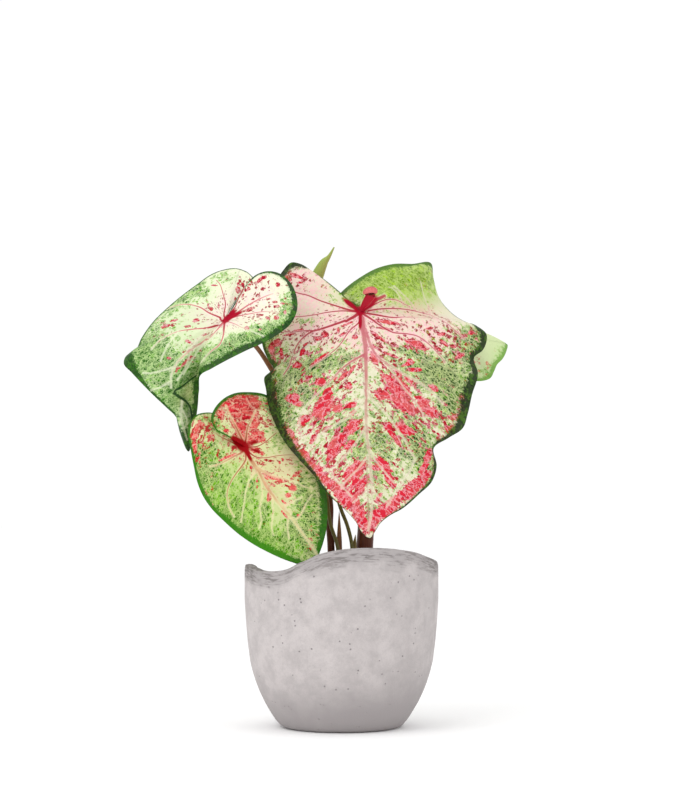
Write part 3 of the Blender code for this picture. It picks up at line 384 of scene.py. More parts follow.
LOW_LEAF = {
    "slot": "mottled_blade",
    "grid": (320, 90),
    "tip": (-16.5, 106),
    "junction": (-65, 187, -30),
    "crown": (0, -1, 0.1),
    "spokes": (
        (-81, 207, -22, -5, -1, -1), (-87.5, 210, -21, -1, -1, -1.1), (-93, 210, -22, 1, -0.7, -1.1),
        (-98, 208.5, -24, 3, -0.3, -1), (-102, 204, -26, 4, 0, -0.6), (-103.5, 197, -28, 5, 0, -0.2),
        (-102, 187, -30, 6), (-99.5, 174, -32, 7), (-97, 163, -34, 7), (-93, 153.5, -36, 7),
        (-87, 145, -38, 7), (-79, 137, -40, 7), (-70, 129, -42, 7), (-60, 122, -45, 6), (-49, 116, -47, 6),
        (-39, 111.5, -47, 6), (-29, 108, -46, 6), (-20, 104.5, -45, 6), (-16.5, 106, -44, 6),
        (-15.5, 113, -44, 6), (-12.5, 122, -42, 6), (-10, 133, -39, 6), (-9.5, 143, -35, 6),
        (-10, 153, -30, 5), (-13, 165, -23, 5), (-18, 179, -15, 5), (-25, 193, -9, 5), (-33, 206, -7, 5),
        (-42, 217, -9, 5), (-52, 222.5, -14, 4), (-63, 224, -21, 4), (-73, 223, -28, 4),
        (-81, 218.5, -34, 4, 0.6, 0.3), (-86, 212.5, -38, 4, 1, 0.6), (-88, 207, -41, 4, 1, 0.9),
        (-87, 202, -42, 4, 0.8, 0.8), (-84, 197.5, -42, 4, 0.4, 0.4),
    ),
    "veins": (
        ((1.1, 0.6, 0.45, 0.1), (-65.5, 186.5), (-61.5, 179), (-57.5, 172.5), (-52.5, 163.5),
            (-48, 156.5), (-42, 148.5), (-35.5, 141.5), (-29.5, 133.5), (-23.5, 125), (-18, 117),
            (-16, 113.5)),
        ((0.8, 0.5, 0.9, 0.05), (-65.5, 186.5), (-68, 193.5), (-72, 201.5), (-75.5, 208), (-78, 214)),
        ((0.6, 0.4, 0.9, 0.05), (-65.5, 186.5), (-64.5, 193.5), (-63.5, 200), (-61, 205.5), (-58.5, 211)),
        ((0.55, 0.35, 0.95, 0.3), (-65.5, 186.5), (-71, 188.5), (-76, 191), (-81, 193.5), (-85, 196)),
        ((0.55, 0.35, 0.6, 0.2), (-65.5, 186.5), (-67, 183.5), (-71.5, 181), (-78, 177.5), (-83, 175),
            (-87.5, 174)),
        ((0.5, 0.28, 0.7, 0.2), (-65.5, 186.5), (-64.5, 179.5), (-66.5, 175), (-71, 169), (-74.5, 163.5),
            (-76.5, 158.5), (-77, 153), (-75.5, 146), (-72.5, 140.5)),
        ((0.39, 0.28, 0.9, 0.3), (-65.5, 186.5), (-58.5, 180.5), (-51.5, 179.5), (-42.5, 181),
            (-34.5, 181.5), (-28.5, 181)),
        ((0.39, 0.25, 0.95, 0.5), (-65.5, 186.5), (-58.5, 187), (-55, 188), (-51, 190.5), (-47, 194),
            (-44.5, 196)),
        ((0.55, 0.35, 0.3, 0.1), (-56.5, 172.5), (-48, 168), (-39, 165.5), (-31, 163), (-25, 160),
            (-20.5, 158.5)),
        ((0.33, 0.28, 0.2, 0.1), (-56.5, 170), (-54, 162), (-53.5, 153), (-55, 146), (-54, 138), (-55, 133)),
        (FAINT_TWIG, (-59.5, 169), (-63.5, 161), (-65.5, 149.5), (-67.5, 137)),
        (FAINT_TWIG, (-47, 154), (-46, 145), (-47, 133.5), (-46, 128.5)),
        (FAINT_TWIG, (-32, 137), (-27.5, 141.5), (-23.5, 149.5), (-20.5, 154)),
        (FAINT_TWIG, (-40, 147), (-34, 149.5), (-27.5, 153)),
        (FAINT_TWIG, (-35.5, 140), (-36.5, 133), (-35.5, 126)),
    ),
    "patches": (
        (-67, 219, 9.7, 3.0, 5), (-80, 217, 3.5, 2.3, 50), (-82, 209, 2.6, 2.5, -30),
        (-75, 213, 2.1, 5.3, 20), (-71, 211, 3.2, 5.3, 10), (-66, 211, 3.5, 5.3, 0),
        (-60, 209, 3.0, 4.4, -20), (-73, 203, 1.9, 4.4, 25), (-67, 199, 4.4, 6.2, 0),
        (-64, 191, 3.9, 4.4, 0), (-59, 202, 2.6, 5.3, -15), (-57, 194, 4.4, 4.1, -20),
        (-61, 216, 5.3, 3.5, 0), (-78, 198, 1.8, 1.1, 0), (-97, 200, 2.3, 4.4, -30),
        (-99, 194, 3.0, 2.3, 0), (-99, 187, 1.4, 4.1, 5), (-94, 202, 2.1, 1.4, -30),
        (-88, 194, 2.3, 1.2, 20), (-77, 180, 5.3, 0.8, 22), (-81, 178, 1.2, 0.7, 20),
        (-55, 183, 3.0, 1.1, -30), (-59, 185, 2.6, 1.8, -20), (-100, 207, 1.2, 1.8, -30),
        (-49, 167, 3.2, 1.8, -30), (-43, 165, 4.4, 1.1, -22), (-33, 159, 2.5, 1.8, -20),
        (-36, 154, 2.1, 1.4, 10), (-40, 178, 0.9, 1.1, 0), (-42, 176, 0.9, 1.1, 0),
        (-31, 168, 3.5, 1.0, 35), (-51, 161, 0.8, 2.8, 25), (-49, 154, 1.1, 3.3, -10),
        (-57, 164, 0.8, 1.0, 0), (-57, 160, 0.5, 1.2, 0), (-61, 173, 0.9, 1.1, 0),
        (-38, 141, 3.2, 0.8, -50), (-29, 141, 1.2, 0.8, 0), (-63, 175, 0.8, 0.5, 0),
        (-56, 179, 1.6, 0.4, 0), (-53, 176, 0.9, 0.4, 0), (-39, 150, 1.9, 0.6, -40),
    ),
    "band": (
        (0, 0.4), (2, 0.8), (4, 1), (6, 1.2), (8, 1.8), (10, 2.2), (12, 3), (14, 3.2), (16, 2.6), (17, 1.5),
        (18, 1), (19, 2), (20, 3), (21, 4), (23, 4.5), (24, 4), (26, 3), (28, 2), (29, 1.6), (32, 1.4),
        (33, 1.6), (34, 1.4), (35, 1), (36, 0.8),
    ),
    "blush": (
        (-58, 176, 13, 7, -40, 0.8), (-38, 150, 5, 28, 42, 0.7), (-74, 180, 10, 4, 20, 0.6),
        (-40, 174, 18, 9, 0, 0.8),
    ),
    "green": (
        (-91, 182, 10, 9, 0, 1), (-85, 166, 12, 14, 0, 0.9), (-72, 148, 14, 12, -30, 0.8),
        (-44, 124, 20, 8, -20, 0.9), (-23, 148, 9, 26, 10, 0.9), (-85, 202, 6, 7, 0, 0.9),
        (-50, 216, 12, 5, 0, 0.8), (-46, 200, 8, 14, 0, 0.4), (-62, 158, 6, 12, -15, 0.7),
        (-52, 142, 7, 10, 0, 0.8), (-34, 130, 8, 8, 0, 0.8), (-92, 206, 6, 3, 0, 0.7),
        (-40, 190, 10, 5, 20, 0.3), (-98, 172, 8, 24, 12, 1), (-66, 168, 5, 7, 0, 0.5),
        (-68, 134, 22, 8, -35, 1), (-24, 126, 10, 20, 20, 0.8),
    ),
    "rosy": (
        (-67, 216, 22, 10, 0, 0.95), (-66, 203, 14, 14, 0, 0.9), (-64, 190, 10, 8, 0, 0.8),
        (-95, 190, 10, 18, 0, 0.8), (-80, 180, 12, 2.5, 20, 0.6), (-44, 166, 14, 3, -25, 0.7),
        (-50, 158, 4, 12, 15, 0.5), (-82, 214, 6, 8, 0, 0.9), (-36, 154, 12, 5, -40, 0.45),
        (-33, 168, 9, 3, 35, 0.4), (-50, 208, 8, 10, 0, 0.45), (-90, 162, 3, 14, 10, 0.25),
        (-44, 178, 12, 5, 0, 0.35), (-20, 128, 5, 14, 0, 0.2),
    ),
    "fresh": ((-78, 150, 42, 46, 20, 0.8), (-46, 118, 36, 18, -30, 0.8)),
    "fleck": (
        (-58, 176, 12, 9, 0, 0.7), (-66, 205, 18, 14, 0, 0.7), (-97, 195, 8, 14, 0, 0.6),
        (-44, 172, 12, 8, 0, 0.5),
    ),
    "heart": (
        (-67, 187.5, 6, 4.6, -40, 1), (-62.5, 181, 1.6, 5.5, 26, 1), (-57.5, 184, 4.5, 1.2, -22, 0.9),
        (-71.5, 191.5, 5, 2.6, -40, 1), (-59, 190, 4.5, 2.4, 10, 0.75),
    ),
}
RIGHT_LEAF = {
    "slot": "pale_blade",
    "grid": (220, 60),
    "tip": (112, 256),
    "junction": (58, 267, 22),
    "crown": (0.15, -0.2, 1),
    "spokes": (
        (43, 266, 12, 2), (35, 257, 6, 3), (36, 245, 0, 5), (44, 237, -4, 6), (55, 232, -6, 7),
        (68, 230, -5, 8), (80, 230, -1, 8), (90, 231.5, 3, 8), (96, 231.8, 6, 8), (100.5, 233.5, 9, 8),
        (103, 238, 13, 8), (105, 242.5, 18, 8), (108.8, 246.5, 24, 8), (111.3, 251.5, 31, 9),
        (112.2, 256, 38, 11, 2, 0), (108, 254, 48, 8), (100, 248, 58, 8), (89, 243, 67, 8),
        (76, 240, 73, 8), (62, 239, 75, 8), (49, 241, 71, 7), (39, 246, 62, 6), (34, 254, 51, 4),
        (38, 262, 41, 3), (46, 267, 34, 2),
    ),
    "ribs": ((2, 0.8), (5, 0.8), (9, 0.85), (14, 0.95), (17, 0.85), (20, 0.8), (22, 0.8)),
    "veins": (),
    "patches": ((104, 236, 1, 1.6, 20), (98, 243, 0.8, 1.2, 0), (92, 238, 1, 0.6, 0)),
    "band": ((0, 0.6), (6, 0.8), (8, 1.5), (10, 2.5), (12, 2), (14, 2), (18, 1.5), (24, 0.8)),
    "blush": ((70, 250, 30, 20, 0, 0.5),),
    "green": (
        (98, 236, 14, 6, 0, 0.6), (108, 247, 5, 9, 0, 0.7), (60, 236, 26, 8, 0, 0.6),
        (60, 250, 20, 12, 0, 0.4),
    ),
    "rosy": ((104, 238, 8, 6, 0, 0.15),),
    "fresh": ((108, 242, 6, 12, 0, 0.6),),
    "fleck": ((90, 244, 20, 12, 0, 0.25),),
    "heart": ((58, 267, 4, 4, 0, 1),),
}

LEAVES = {"front": FRONT_LEAF, "left": LEFT_LEAF, "low": LOW_LEAF, "right": RIGHT_LEAF}
COVERS = ("blush", "green", "fresh", "rosy", "fleck", "heart", "bare", "shade")

# How small the inside of a rolled sheet can get, as a share of its radius
INMOST = 0.12
# Rolled sheets: the line, the radius at each of its places, how many turns the sheet makes, how far it has
# closed at the end of them, its thickness, where it starts in degrees, and its faces along and around. The
# front leaf's notch is rolled up beside the junction as a small funnel under a hood.
FUNNEL = {
    "line": ((13.2, 279.3, -27.6), (14.8, 282.5, -29), (17.4, 286.5, -31), (20, 290.5, -33)),
    "radii": (0.9, 2.2, 3.2, 3.8),
    "turns": 0.78, "closing": 0.95, "thick": 0.5, "first": 130, "grid": (40, 64),
}
HOOD = {
    "line": (
        (15.2, 290.4, -35.5), (16.4, 292, -35.5), (19.4, 293, -35.5), (22, 292.8, -35), (23.4, 291.2, -34),
    ),
    "radii": (1, 2.7, 3.5, 3.2, 1.8),
    "turns": 1.1, "closing": 0.5, "thick": 0.5, "first": 250, "grid": (40, 64),
}
ROLLED_LEAF = {
    "line": (
        (-28, 262, 8), (-24, 278, 10), (-18.5, 296, 11), (-15.5, 304, 11), (-12, 311.5, 10), (-8.5, 316, 9),
        (-5, 322.5, 8),
    ),
    "radii": (2.4, 4.0, 5.2, 4.8, 3.4, 1.6, 0.5),
    "turns": 1.3, "closing": 0.62, "thick": 0.5, "first": 0, "grid": (120, 80),
}

# A stalk's line, from the pot's rim up, as (across, up, back), its radius at the soil and at the leaf,
# how it thins on the way, how far it ends short of its leaf, and its slot
STALKS = {
    "front": {
        "line": (
            (15.5, 118, -4), (16.3, 132, -3.5), (17.5, 170, 0), (18.5, 210, 1), (18, 245, -4),
            (15.5, 265, -13),
        ),
        "end": (13, 278, -28), "radii": (6.5, 2.1), "thinning": 1.2, "short": 1.9, "slot": "brown_stalk",
    },
    "left": {
        "line": (
            (-7, 118, -12), (-8, 134, -10), (-8, 150, -6), (-13, 178, 0), (-28, 207, 5), (-45, 235.5, 3),
            (-57.5, 254.5, -2), (-70, 265, -12),
        ),
        "end": (-78.5, 273, -28), "radii": (2.9, 1.4), "thinning": 0.8, "short": 1.3, "slot": "brown_stalk",
    },
    "low": {
        "line": (
            (-2.4, 118, -21), (-7.7, 136, -18), (-9.8, 153, -14), (-14, 168, -8), (-28, 183, -2),
            (-46, 190, -4), (-58, 188, -13),
        ),
        "end": (-65, 187, -30), "radii": (1.3, 1.1), "thinning": 1.0, "short": 1.9, "slot": "olive_stalk",
    },
    "right": {
        "line": ((16, 118, 9), (18, 140, 10), (24, 175, 14), (34, 212, 20), (46, 242, 24), (54, 257, 25)),
        "end": (58, 267, 22), "radii": (3.0, 1.6), "thinning": 1.0, "short": 1.8, "slot": "brown_stalk",
    },
    "rolled": {
        "line": (
            (7.2, 118, -17), (4.2, 133, -13), (-1.3, 148, -8), (-7, 172, -2), (-14, 205, 5), (-23, 235, 8),
            (-27.5, 252, 8),
        ),
        "end": (-28, 262, 8), "radii": (1.25, 1.25), "thinning": 1.0, "short": 0.4, "slot": "olive_stalk",
    },
}
# Pointed sheaths beside the stalks' feet: foot, tip, greatest radius and slot
SHEATHS = {
    "bud_sheath": {
        "foot": (-1.5, 118, -15), "tip": (-1.6, 143.5, -15.5), "radius": 1.9, "slot": "brown_stalk",
    },
    "stalk_sheath": {
        "foot": (8.6, 118, -11.5), "tip": (9.4, 128, -11), "radius": 1.6, "slot": "olive_stalk",
    },
}

# A blade's colours: the setting, its label, what it colours, and its display values from 0 to 255 on the
# front, left, low and right leaf
BLADE_COLOURS = (
    ("ground", "Ground", "the bleached ground between veins",
        (226, 220, 196), (232, 236, 206), (230, 226, 180), (206, 220, 168)),
    ("blush", "Blush", "the blush near the stalk",
        (243, 190, 198), (244, 220, 216), (236, 204, 176), (226, 228, 196)),
    ("light", "Light green", "the faintest green cells",
        (166, 194, 90), (146, 194, 68), (156, 192, 70), (176, 204, 132)),
    ("mid", "Middle green", "the green cells", (92, 142, 36), (80, 148, 28), (62, 138, 2), (140, 182, 92)),
    ("deep", "Deep green", "the darkest green cells", (20, 62, 6), (18, 84, 8), (8, 70, 0), (96, 150, 60)),
    ("fresh", "Fresh green", "the lit green of the lobes",
        (158, 196, 22), (112, 170, 50), (116, 178, 8), (156, 198, 96)),
    ("margin", "Margin", "the dark border", (26, 44, 20), (18, 56, 20), (34, 96, 18), (110, 156, 66)),
    ("patch", "Patch", "the red islands", (208, 36, 56), (190, 34, 54), (216, 36, 56), (206, 120, 90)),
    ("fleck", "Fleck", "the crimson flecks", (144, 12, 32), (150, 10, 40), (160, 6, 18), (196, 80, 80)),
    ("vein_pale", "Pale vein", "veins far from the stalk",
        (202, 186, 158), (216, 220, 184), (226, 206, 152), (220, 228, 190)),
    ("vein_pink", "Pink vein", "veins half way out",
        (186, 96, 104), (206, 116, 120), (178, 112, 76), (224, 180, 160)),
    ("vein_red", "Red vein", "veins near the stalk", (160, 0, 34), (166, 4, 38), (150, 0, 10), (190, 60, 70)),
    ("under", "Underside", "the dull underside",
        (196, 176, 150), (168, 172, 112), (166, 172, 98), (184, 192, 142)),
)


def linear(value):
    """A display value from 0 to 255 as the linear value that a shader takes."""
    share = value / 255
    return share / 12.92 if share <= 0.04045 else ((share + 0.055) / 1.055) ** 2.4


def colour(name, where, *display):
    """A colour setting whose default is this display colour."""
    return bpy.props.FloatVectorProperty(
        name=name, description=f"Colour of {where}", subtype="COLOR", size=3, min=0, max=1,
        default=[linear(value) for value in display],
    )


def size(name, description, millimetres):
    """A length setting whose default is in millimetres."""
    return bpy.props.FloatProperty(
        name=name, description=description, unit="LENGTH", min=0, soft_max=0.05, precision=4,
        default=millimetres * MM,
    )


def count(name, description, default, low, high):
    return bpy.props.IntProperty(name=name, description=description, min=low, max=high, default=default)


def blade_colours(name, column):
    """The class of colour settings of one leaf, whose defaults are in this column."""
    settings = {key: colour(label, where, *shades[column]) for key, label, where, *shades in BLADE_COLOURS}
    form = {"__doc__": f"Colours of the {name} leaf.", "__annotations__": settings}
    return type(f"Caladium{name.title()}Colours", (bpy.types.PropertyGroup,), form)


class CaladiumLeafSizes(bpy.types.PropertyGroup):
    """Sizes shared by the leaf blades."""

    thick: size("Thickness", "Thickness of a blade between its veins", 0.7)
    edge: size("Edge", "Thickness of a blade at its margin", 0.4)
    quilt: size("Quilting", "How far the blade swells between its veins", 0.6)
    rib: size("Ribs", "How far the widest veins stand out below", 0.9)


class CaladiumStalkSettings(bpy.types.PropertyGroup):
    """The stalks, the sheaths, the leaf that is still rolled and the hood over the front leaf's curl."""

    sides: count("Sides", "Faces round a stalk", 20, 8, 48)
    ridge: size("Ridges", "How far a stalk's surface rises and falls", 0.12)
    brown_foot: colour("Brown foot", "a brown stalk at the soil", 84, 32, 12)
    brown_head: colour("Brown head", "a brown stalk at the leaf", 132, 90, 56)
    olive_foot: colour("Olive foot", "a thin stalk at the soil", 92, 88, 44)
    olive_head: colour("Olive head", "a thin stalk at the leaf", 130, 112, 62)
    young: colour("Young leaf", "the rolled leaf", 142, 168, 74)
    young_edge: colour("Young edge", "the rolled leaf's edge", 176, 138, 92)
    hood: colour("Hood", "the hood over the junction", 224, 118, 116)
    crust: colour("Hood's edge", "the hood's brown edge", 104, 40, 20)


class CaladiumPotSettings(bpy.types.PropertyGroup):
    """The cast pot and its soil."""

    wave: size("Rim wave", "How far the rim rises and falls beyond its drawn line", 0.35)
    grain: size("Grain", "How uneven the cast surface is", 0.16)
    pale: colour("Concrete", "the pale cast surface", 198, 191, 190)
    dark: colour("Dark concrete and shade", "the clouds and the foot", 158, 152, 152)
    # The dark tone colours the clouds, and the painted shade at the foot and on the right side
    stain: colour("Rim stain", "the streaks along the rim", 112, 106, 104)
    soil: colour("Soil", "the potting soil", 66, 48, 36)
    crumbs: count("Crumbs", "Crumbs and fibres on the soil", 1500, 0, 4000)
    crumb_size: size("Crumb size", "Greatest width of a crumb", 2.6)


class CaladiumStageSettings(bpy.types.PropertyGroup):
    """The floor, the light and the camera."""

    floor: bpy.props.FloatProperty(
        name="Floor", description="Width of the floor", unit="LENGTH", min=1, max=60, default=24,
    )
    sky: bpy.props.FloatProperty(
        name="Sky", description="Strength of the even light", min=0, max=3, default=1.02,
    )
    key: bpy.props.FloatProperty(name="Key light", description="Power in watts", min=0, max=200, default=9)


def unit(vectors):
    return vectors / np.linalg.norm(vectors, axis=-1, keepdims=True).clip(1e-9)


def seen(across, up, back):
    """The point this far back that looks to be at that place on the plane through the pot's axis."""
    reach = (EYE_BACK + back) / EYE_BACK
    return np.array((EYE_ACROSS + (across - EYE_ACROSS) * reach, back, EYE_UP + (up - EYE_UP) * reach))


def drawn(points):
    """Where the points look to be, as (across, up)."""
    reach = (EYE_BACK + points[..., 1]) / EYE_BACK
    across = EYE_ACROSS + (points[..., 0] - EYE_ACROSS) / reach
    return np.stack((across, EYE_UP + (points[..., 2] - EYE_UP) / reach), axis=-1)


def hermite(start, end, leaving, arriving, share):
    """The place on a cubic from start to end, with these slopes over the whole step."""
    cube, square = share**3, share**2
    return (
        (2 * cube - 3 * square + 1) * start + (cube - 2 * square + share) * leaving
        + (3 * square - 2 * cube) * end + (cube - square) * arriving
    )


def through(knots, steps_between):
    """A smooth curve through the knots, with that many steps between two."""
    knots = np.asarray(knots, float)
    slopes = np.gradient(knots, axis=0)
    share = np.linspace(0, 1, steps_between, endpoint=False)[:, None]
    curve = [hermite(knots[i], knots[i + 1], slopes[i], slopes[i + 1], share) for i in range(len(knots) - 1)]
    return np.vstack(curve + [knots[-1:]])


def along_line(line):
    """How far along the line each of its points is."""
    steps = np.linalg.norm(np.diff(line, axis=0), axis=1)
    return np.concatenate([[0], np.cumsum(steps)])


def resampled(line, along, places):
    """The line's values at these places, where its points lie this far along."""
    return np.stack([np.interp(places, along, column) for column in line.T], axis=-1)


def even(line, spacing):
    """The line's points again, evenly spaced."""
    along = along_line(line[:, :3])
    return resampled(line, along, np.linspace(0, along[-1], max(2, int(along[-1] / spacing) + 1)))


def graph(knots, places):
    """The heights at these places of the smooth line through knots of (place, height)."""
    spots, heights = np.array(knots, float).T
    slopes = np.gradient(heights, spots)
    k = np.clip(np.searchsorted(spots, places) - 1, 0, len(spots) - 2)
    gap = spots[k + 1] - spots[k]
    share = (places - spots[k]) / gap
    return hermite(heights[k], heights[k + 1], gap * slopes[k], gap * slopes[k + 1], share)


def new_mesh(name, points, faces=(), values=(), edges=()):
    """A smooth mesh of points in millimetres, with a named attribute for each set of values."""
    mesh = bpy.data.meshes.new(name)
    mesh.from_pydata((np.asarray(points) * MM).tolist(), edges, faces)
    for key, data in dict(values).items():
        kind, field = ("FLOAT", "value") if data.ndim == 1 else ("FLOAT_VECTOR", "vector")
        mesh.attributes.new(key, kind, "POINT").data.foreach_set(field, data.astype(np.float32).ravel())
    mesh.shade_smooth()
    return mesh


def line_mesh(name, line, values=()):
    """A mesh of one open line."""
    return new_mesh(name, line, values=values, edges=[(k, k + 1) for k in range(len(line) - 1)])


def new_object(name, data):
    made = bpy.data.objects.new(name, data)
    bpy.context.scene.collection.objects.link(made)
    return made


def place_piece(name, mesh, material, slot, *nodes):
    """Put a finished mesh in the scene as a piece that stands for these nodes."""
    mesh.materials.clear()
    mesh.materials.append(material)
    piece = new_object(name, mesh)
    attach(piece, "root")
    if nodes:
        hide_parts(*nodes)


class Maker:
    """Adds and joins the nodes of one tree."""

    def __init__(self, tree):
        self.tree = tree

    def node(self, kind, inputs=(), **settings):
        made = self.tree.nodes.new(kind)
        for key, value in settings.items():
            setattr(made, key, value)
        for key, value in dict(inputs).items():
            if isinstance(value, bpy.types.NodeSocket):
                self.tree.links.new(value, made.inputs[key])
            else:
                made.inputs[key].default_value = value
        return made

    def get(self, kind, inputs=(), **settings):
        """The first output of a new node."""
        return self.node(kind, inputs, **settings).outputs[0]

    def link(self, output, target):
        self.tree.links.new(output, target)

    def maths(self, operation, *values):
        return self.get("ShaderNodeMath", dict(enumerate(values)), operation=operation)

    def plus(self, *values):
        return self.maths("ADD", *values)

    def minus(self, *values):
        return self.maths("SUBTRACT", *values)

    def times(self, *values):
        return self.maths("MULTIPLY", *values)

    def scaled(self, *values):
        """The first value times the second, plus the third."""
        return self.maths("MULTIPLY_ADD", *values)

    def larger(self, *values):
        return self.maths("MAXIMUM", *values)

    def vector(self, operation, *values):
        return self.get("ShaderNodeVectorMath", dict(enumerate(values)), operation=operation)

    def stretched(self, vector, share):
        """The vector times one number."""
        return self.get("ShaderNodeVectorMath", {0: vector, "Scale": share}, operation="SCALE")

    def parts(self, vector):
        """The vector's X, Y and Z."""
        return self.node("ShaderNodeSeparateXYZ", {0: vector}).outputs

    def joined(self, **parts):
        """A vector of these x, y and z, or 0."""
        return self.get("ShaderNodeCombineXYZ", {"xyz".index(key): part for key, part in parts.items()})

    def blend(self, share, first, second):
        """The first colour, turning to the second as the share rises to 1."""
        return self.node("ShaderNodeMix", {0: share, 6: first, 7: second}, data_type="RGBA").outputs[2]

    def rise(self, value, low, high, top=1.0):
        """0 below low, smoothly up to the top value above high."""
        inputs = {0: value, 1: low, 2: high, 3: 0.0, 4: top}
        return self.get("ShaderNodeMapRange", inputs, interpolation_type="SMOOTHSTEP")

    def noise(self, place, scale, detail=2.0, roughness=0.5):
        inputs = {"Vector": place, "Scale": scale, "Detail": detail, "Roughness": roughness}
        return self.get("ShaderNodeTexNoise", inputs)

    def cells(self, place, feature, scale=1.0):
        """Cells scattered at random: how far the place is from one, and a colour for each."""
        return self.node("ShaderNodeTexVoronoi", {"Vector": place, "Scale": scale}, feature=feature).outputs

    def chances(self, place, scale=1.0):
        """Three random numbers from 0 to 1 for the cell that the place lies in."""
        return self.node("ShaderNodeSeparateColor", {0: self.cells(place, "F1", scale)["Color"]}).outputs

    def attribute(self, name, output="Fac"):
        return self.node("ShaderNodeAttribute", attribute_name=name).outputs[output]

    def in_millimetres(self):
        """The place on the object, in millimetres."""
        return self.stretched(self.node("ShaderNodeTexCoord").outputs["Object"], 1 / MM)


def new_tree(kind, name, inputs, outputs):
    """A node tree with these sockets: its maker, what comes in and what goes out."""
    tree = bpy.data.node_groups.new(name, kind)
    for way, sockets in (("INPUT", inputs), ("OUTPUT", outputs)):
        for key, socket in sockets.items():
            tree.interface.new_socket(key, in_out=way, socket_type=f"NodeSocket{socket}")
    start, end = tree.nodes.new("NodeGroupInput"), tree.nodes.new("NodeGroupOutput")
    return Maker(tree), start.outputs, end.inputs


class Branches:
    """Lines drawn on a blade, sampled closely, to tell how far each point is from the nearest one."""

    def __init__(self, lines):
        self.rows = np.vstack(lines)
        self.tree = KDTree(len(self.rows))
        for k, place in enumerate(self.rows[:, :3]):
            self.tree.insert(place, k)
        self.tree.balance()

    def nearest(self, points):
        found = [self.tree.find(point) for point in points]
        rows = self.rows[[k for _, k, _ in found]]
        return rows, np.array([distance for _, _, distance in found])


def ellipse(places, across, up, reach, wide, turn):
    """The square of each place's distance from the middle, where the ellipse's edge is at 1."""
    angle = math.radians(turn)
    offset = places - (across, up)
    ahead = offset @ (math.cos(angle), math.sin(angle))
    beside = offset @ (-math.sin(angle), math.cos(angle))
    return (ahead / reach) ** 2 + (beside / wide) ** 2


def blob_cover(blobs, places):
    """How much the soft ellipses cover each drawn place, from 0 to 1."""
    bare = np.ones(len(places))
    for *blob, strength in blobs:
        bare *= 1 - strength * np.exp(-ellipse(places, *blob))
    return 1 - bare


def near_one(distance, reach):
    """1 at no distance, falling softly to 0 beyond the reach."""
    return np.exp(-((distance / reach) ** 2))


def quads(number):
    """The faces of a grid of point numbers, as an array of rows by columns by four."""
    return np.stack((number[:-1, :-1], number[:-1, 1:], number[1:, 1:], number[1:, :-1]), axis=-1)


